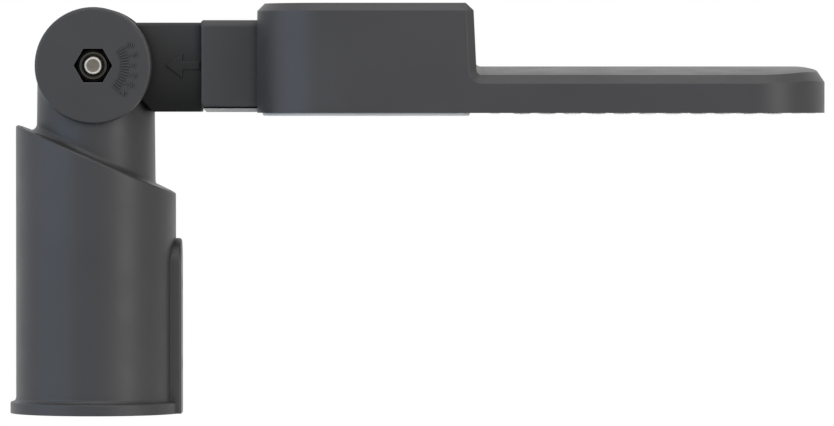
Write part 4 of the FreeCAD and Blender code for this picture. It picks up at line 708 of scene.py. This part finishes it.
def rounded_square(columns, half):
    """Radius of a square with soft corners: a superellipse of the sixth power."""
    turn = 2 * math.pi * (spokes(columns) + 0.5 / columns)
    return half / (np.abs(np.cos(turn)) ** 6 + np.abs(np.sin(turn)) ** 6) ** (1 / 6)


def phosphor():
    """Yellow phosphor in clear silicone: light goes a little way into it."""
    finish, tree, shader, points = new_finish("phosphor", specular=0.6)
    shader.inputs["Subsurface Weight"].default_value = 0.25
    shader.inputs["Subsurface Radius"].default_value = (0.001, 0.0007, 0.0002)
    shader.inputs["Roughness"].default_value = 0.18
    speck = ranged(tree, noise(tree, points, 3000.0, 3.0), 0.0, 1.0)
    tree.links.new(mixed(tree, speck, (0.78, 0.52, 0.08), (0.93, 0.70, 0.20)),
                   shader.inputs["Base Color"])
    return finish


ceramic = moulded("white_ceramic", (0.85, 0.85, 0.84), 0.35)
square = rounded_square(LED_COLUMNS, 1.75)
parts = [rows_of(LED_COLUMNS, (LED_FACE + 0.02, 0.0), (LED_FACE + 0.06, 0.7),
                 (LED_FACE + 0.2, 1.3), (LED_FACE + 0.1, 1.42), (LED_FACE + 0.1, square * 0.95),
                 (LED_FACE + 0.25, square), (BOARD_FACE, square), (BOARD_FACE, 0.0))]
leds = repeated("light_sources", lens_places, parts, "led_packages",
                finish=phosphor(), slot="yellow_phosphor")
middle = face_middles(leds)
from_own = (middle[:, :2] - lens_places[0] + LED_PITCH / 2) % LED_PITCH - LED_PITCH / 2
cased = (np.hypot(*from_own.T) > PHOSPHOR_RADIUS) | (middle[:, 2] > LED_FACE + PHOSPHOR_DEPTH)
second_finish(leds, ceramic, cased)


# Lens plate: one clear acrylic moulding with a peanut-shaped lens over each light source,
# sealed by a silicone ring and held by twelve star-recess screws.
def clear_acrylic():
    """Clear plastic with the faint flow ripple of a moulding."""
    finish, tree, shader, points = new_finish("clear_acrylic")
    shader.inputs["Base Color"].default_value = (0.97, 0.98, 1.0, 1.0)
    shader.inputs["Transmission Weight"].default_value = 0.92
    shader.inputs["IOR"].default_value = 1.49
    shader.inputs["Roughness"].default_value = 0.06
    tree.links.new(bumped(tree, noise(tree, points, 60.0, 1.0), 0.00003), shader.inputs["Normal"])
    return finish


PLATE_FACE = 158.2
PLATE_BACK = 160.7
PLATE_START = 202.0
PLATE_END = 377.5
PLATE_HALF_WIDTH = 72.0
BACK_CORNER = 7.6
FRONT_CORNER = 36.0
PLATE_SCREWS = [(208.8 + 40.0 * i, side * 68.8) for i in range(4) for side in (-1, 1)]
PLATE_SCREWS += [(374.3, 20.0), (374.3, -20.0), (364.69, 59.193), (364.69, -59.193)]
HOLE_RADIUS = 1.7
LENS_COLUMNS = 32
LENS_HALF_LENGTH = 8.6
LENS_HALF_WIDTH = 5.75
LENS_RISE = 1.35
VALLEY_DEPTH = 0.25
VALLEY_WIDTH = 1.8


def round_cornered(start, end, half, back, front, steps=16):
    """Outline of a plate: a quarter circle at each corner, of one radius behind and another
    in front, and straight between them."""
    turn = np.linspace(0, math.pi / 2, steps + 1)
    corners = ((end - front, half - front, front), (start + back, half - back, back),
               (start + back, back - half, back), (end - front, front - half, front))
    return np.concatenate([
        np.stack((x + radius * np.cos(turn + i * math.pi / 2),
                  y + radius * np.sin(turn + i * math.pi / 2)), -1)
        for i, (x, y, radius) in enumerate(corners)])


def ovals(places, half_width, half_length, columns):
    """The same oval round each place: its half widths times the cosine and sine of the turn."""
    turn = 2 * math.pi * spokes(columns)
    ring = np.stack((half_width * np.cos(turn), half_length * np.sin(turn)), -1)
    return np.array(places)[:, None, :] + ring


def flat_face(outline, holes, level):
    """Points and triangles of a level face inside the outline and outside the holes."""
    rings = [outline] + [ring for group in holes for ring in group]
    starts = np.cumsum([0] + [len(ring) for ring in rings])
    edges = np.concatenate([
        np.stack((np.arange(len(ring)), (np.arange(len(ring)) + 1) % len(ring)), -1) + start
        for ring, start in zip(rings, starts)])
    points = np.concatenate(rings)
    points = np.column_stack((points, np.full(len(points), level)))
    face = bpy.data.meshes.new("flat_face")
    face.from_pydata(points.tolist(), edges.tolist(), [])
    shape = bmesh.new()
    shape.from_mesh(face)
    bmesh.ops.triangle_fill(shape, use_beauty=True, edges=shape.edges[:])
    shape.to_mesh(face)
    shape.free()
    corners = np.empty(len(face.loops), np.int32)
    face.loops.foreach_get("vertex_index", corners)
    bpy.data.meshes.remove(face)
    return points, corners.reshape(-1, 3)


def halved(faces):
    """Two triangles for each four-sided face."""
    return np.concatenate((faces[:, (0, 1, 2)], faces[:, (0, 2, 3)]))


def walls(rings, low, high):
    """Upright walls of one or more rings of equal length between two levels."""
    rings = np.asarray(rings)
    count, columns = rings.shape[:2]
    levels = np.array((low, high))[None, :, None] + np.zeros((count, 2, columns))
    points = np.concatenate((np.repeat(rings[:, None], 2, 1), levels[..., None]), -1)
    faces = [grid_faces(2, columns, False, 2 * columns * i) for i in range(count)]
    return points.reshape(-1, 3), halved(np.concatenate(faces))


def lens_domes(places):
    """Each lens rises from an oval foot on the face. At a share s of the way out its height is
    the rise times the root of 1 - s^4, less a shallow valley that crosses its middle."""
    share = np.concatenate((np.linspace(0, 0.8, 6), (0.88, 0.94, 0.975, 1.0)))[:, None]
    turn = 2 * math.pi * spokes(LENS_COLUMNS)
    x = share * LENS_HALF_WIDTH * np.cos(turn)
    y = share * LENS_HALF_LENGTH * np.sin(turn)
    valley = VALLEY_DEPTH * np.exp(-(y / VALLEY_WIDTH) ** 2) * (1 - share ** 2)
    rise = LENS_RISE * np.sqrt(np.clip(1 - share ** 4, 0, 1)) - valley
    dome = np.stack((x, y, PLATE_FACE - rise), -1)
    spots = np.column_stack((places, np.zeros(len(places))))
    points = dome[None] + spots[:, None, None, :]
    faces = [grid_faces(len(dome), LENS_COLUMNS, False, dome[..., 0].size * i)
             for i in range(len(places))]
    return points.reshape(-1, 3), halved(np.concatenate(faces))


plan = round_cornered(PLATE_START, PLATE_END, PLATE_HALF_WIDTH, BACK_CORNER, FRONT_CORNER)
holes = ovals(PLATE_SCREWS, HOLE_RADIUS, HOLE_RADIUS, 24)
feet = ovals(lens_places, LENS_HALF_WIDTH, LENS_HALF_LENGTH, LENS_COLUMNS)
parts = [flat_face(plan, (holes, feet), PLATE_FACE), flat_face(plan, (holes,), PLATE_BACK),
         walls([plan], PLATE_FACE, PLATE_BACK), walls(holes, PLATE_FACE, PLATE_BACK),
         lens_domes(lens_places)]
starts = np.cumsum([0] + [len(part[0]) for part in parts])
points = np.concatenate([part[0] for part in parts])
faces = np.concatenate([part[1] + start for part, start in zip(parts, starts)])
plate = new_piece("lens_plate_moulded", points, faces, clear_acrylic(), "head", "clear_acrylic",
                  35.0)
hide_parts("lens_plate")
dress("lens_seal", silicone)
repeated("lens_star_screws", PLATE_SCREWS,
         screw(24, 157.2, 158.2, 167.2, 3.0, 1.5, 0.9, six_lobe(24, 1.35), 0.7),
         "lens_screws")


# Gear tray: mill-finish aluminium sheet, held under the roof of the box by four screws. The
# rolling marks run along it.
def rolled_aluminium():
    """Sheet metal: noise stretched along x gives the rolling marks in tone, gloss and bump."""
    finish, tree, shader, points = new_finish("rolled_aluminium", 1.0)
    stretch = tree.nodes.new("ShaderNodeMapping")
    stretch.inputs["Scale"].default_value = (0.03, 1.0, 1.0)
    tree.links.new(points, stretch.inputs["Vector"])
    marks = noise(tree, stretch.outputs["Vector"], 1600.0, 4.0)
    tone = ranged(tree, marks, 0.0, 1.0)
    tree.links.new(mixed(tree, tone, (0.66, 0.66, 0.67), (0.78, 0.78, 0.79)),
                   shader.inputs["Base Color"])
    tree.links.new(ranged(tree, marks, 0.30, 0.44), shader.inputs["Roughness"])
    tree.links.new(bumped(tree, marks, 0.00001), shader.inputs["Normal"])
    return finish


dress("gear_tray", rolled_aluminium())
repeated("tray_star_screws",
         [(109.511, -45.789), (109.511, 45.789), (181.16, -52.232), (181.16, 52.232)],
         screw(36, 201.7, 203.9, 208.9, 3.8, 2.0, 0.7, six_lobe(36, 1.6), 1.2),
         "tray_screws")


# Gear on the tray: a driver in a white case, a terminal block, a surge protector, and a
# saddle clamp for the supply cable. Star-recess screws of one size hold driver and clamp.
gear_screw = screw(36, 199.7, 201.9, 203.9, 3.2, 2.0, 0.7, six_lobe(36, 1.5), 1.1)
dress("driver", moulded("driver_case", (0.78, 0.78, 0.76), 0.42))
repeated("driver_star_screws", [(113.63, 35.2), (180.23, 35.2)], gear_screw, "driver_screws")
dress("terminal_block", moulded("grey_nylon", (0.30, 0.30, 0.29), 0.5))
dress("surge_protector", dark_nylon)
dress("cable_clamp", dark_nylon)
repeated("clamp_star_screws", [(128.0, -0.2), (128.0, -19.6)], gear_screw, "cable_clamp_screws")


# Earth screw: turned brass, driven up into the gear tray, with a chamfered hexagon head and a
# clamping washer above it for the earth wire.
EARTH_COLUMNS = 48
brass = machined_steel("turned_brass", (0.72, 0.54, 0.25), 0.3)
flats = hexagon(EARTH_COLUMNS, 8.0)
parts = [rows_of(EARTH_COLUMNS, (200.6, 0.0), (200.6, 2.4), (200.4, 2.7), (200.4, 3.7),
                 (200.75, np.minimum(flats, 4.3)), (201.1, flats), (202.9, flats),
                 (202.95, 3.9), (203.1, 3.95), (203.6, 3.95), (203.9, 3.8), (203.9, 0.0))]
earth = turned("earth_screw_brass", parts, "z", (117.8, -39.5, 0.0), brass, "head", "brass")
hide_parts("earth_screw")


# Cable gland: black nylon. A hexagon flange, and a domed cap nut with grip ribs that squeezes
# a seal round the cable.
GLAND_COLUMNS = 96
GLAND_END = 113.5
flats = hexagon(GLAND_COLUMNS, 22.0)
ribs = 9.5 - 0.35 * (np.cos(32 * math.pi * spokes(GLAND_COLUMNS)) > 0)
parts = [
    rows_of(GLAND_COLUMNS, (94.0, 4.5), (94.0, 7.4)),
    thread(GLAND_COLUMNS, 94.3, 98.4, 8.0, 1.5, 6),
    rows_of(GLAND_COLUMNS, (98.5, 9.8), (98.8, np.minimum(flats, 11.6)), (99.2, flats),
            (102.8, flats), (103.2, np.minimum(flats, 11.6)), (103.5, 9.9), (103.7, 9.1),
            (104.2, ribs), (109.6, ribs), (110.2, 9.0), (111.4, 8.5), (112.6, 7.5),
            (113.3, 6.3), (GLAND_END, 5.6), (GLAND_END, 5.0), (GLAND_END - 0.6, 4.5)),
]
gland = turned("cable_gland_moulded", parts, "x", (0.0, 0.0, 185.3), dark_nylon, "head",
               "black_nylon", ring=True)
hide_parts("cable_gland")


# Lead grommet: grey silicone with a rounded flange, in the wall between the gear box and the
# lamp panel.
parts = [rows_of(48, (190.13, 2.4), (190.13, 5.2), (190.4, 5.65), (190.9, 5.8), (191.5, 5.65),
                 (191.93, 5.2), (191.93, 4.0), (197.0, 3.9), (197.33, 3.6), (197.33, 2.5),
                 (197.1, 2.2), (190.4, 2.2))]
grommet = turned("lead_grommet_moulded", parts, "x", (0.0, 40.0, 168.5), silicone, "head",
                 "silicone", ring=True)
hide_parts("lead_grommet")
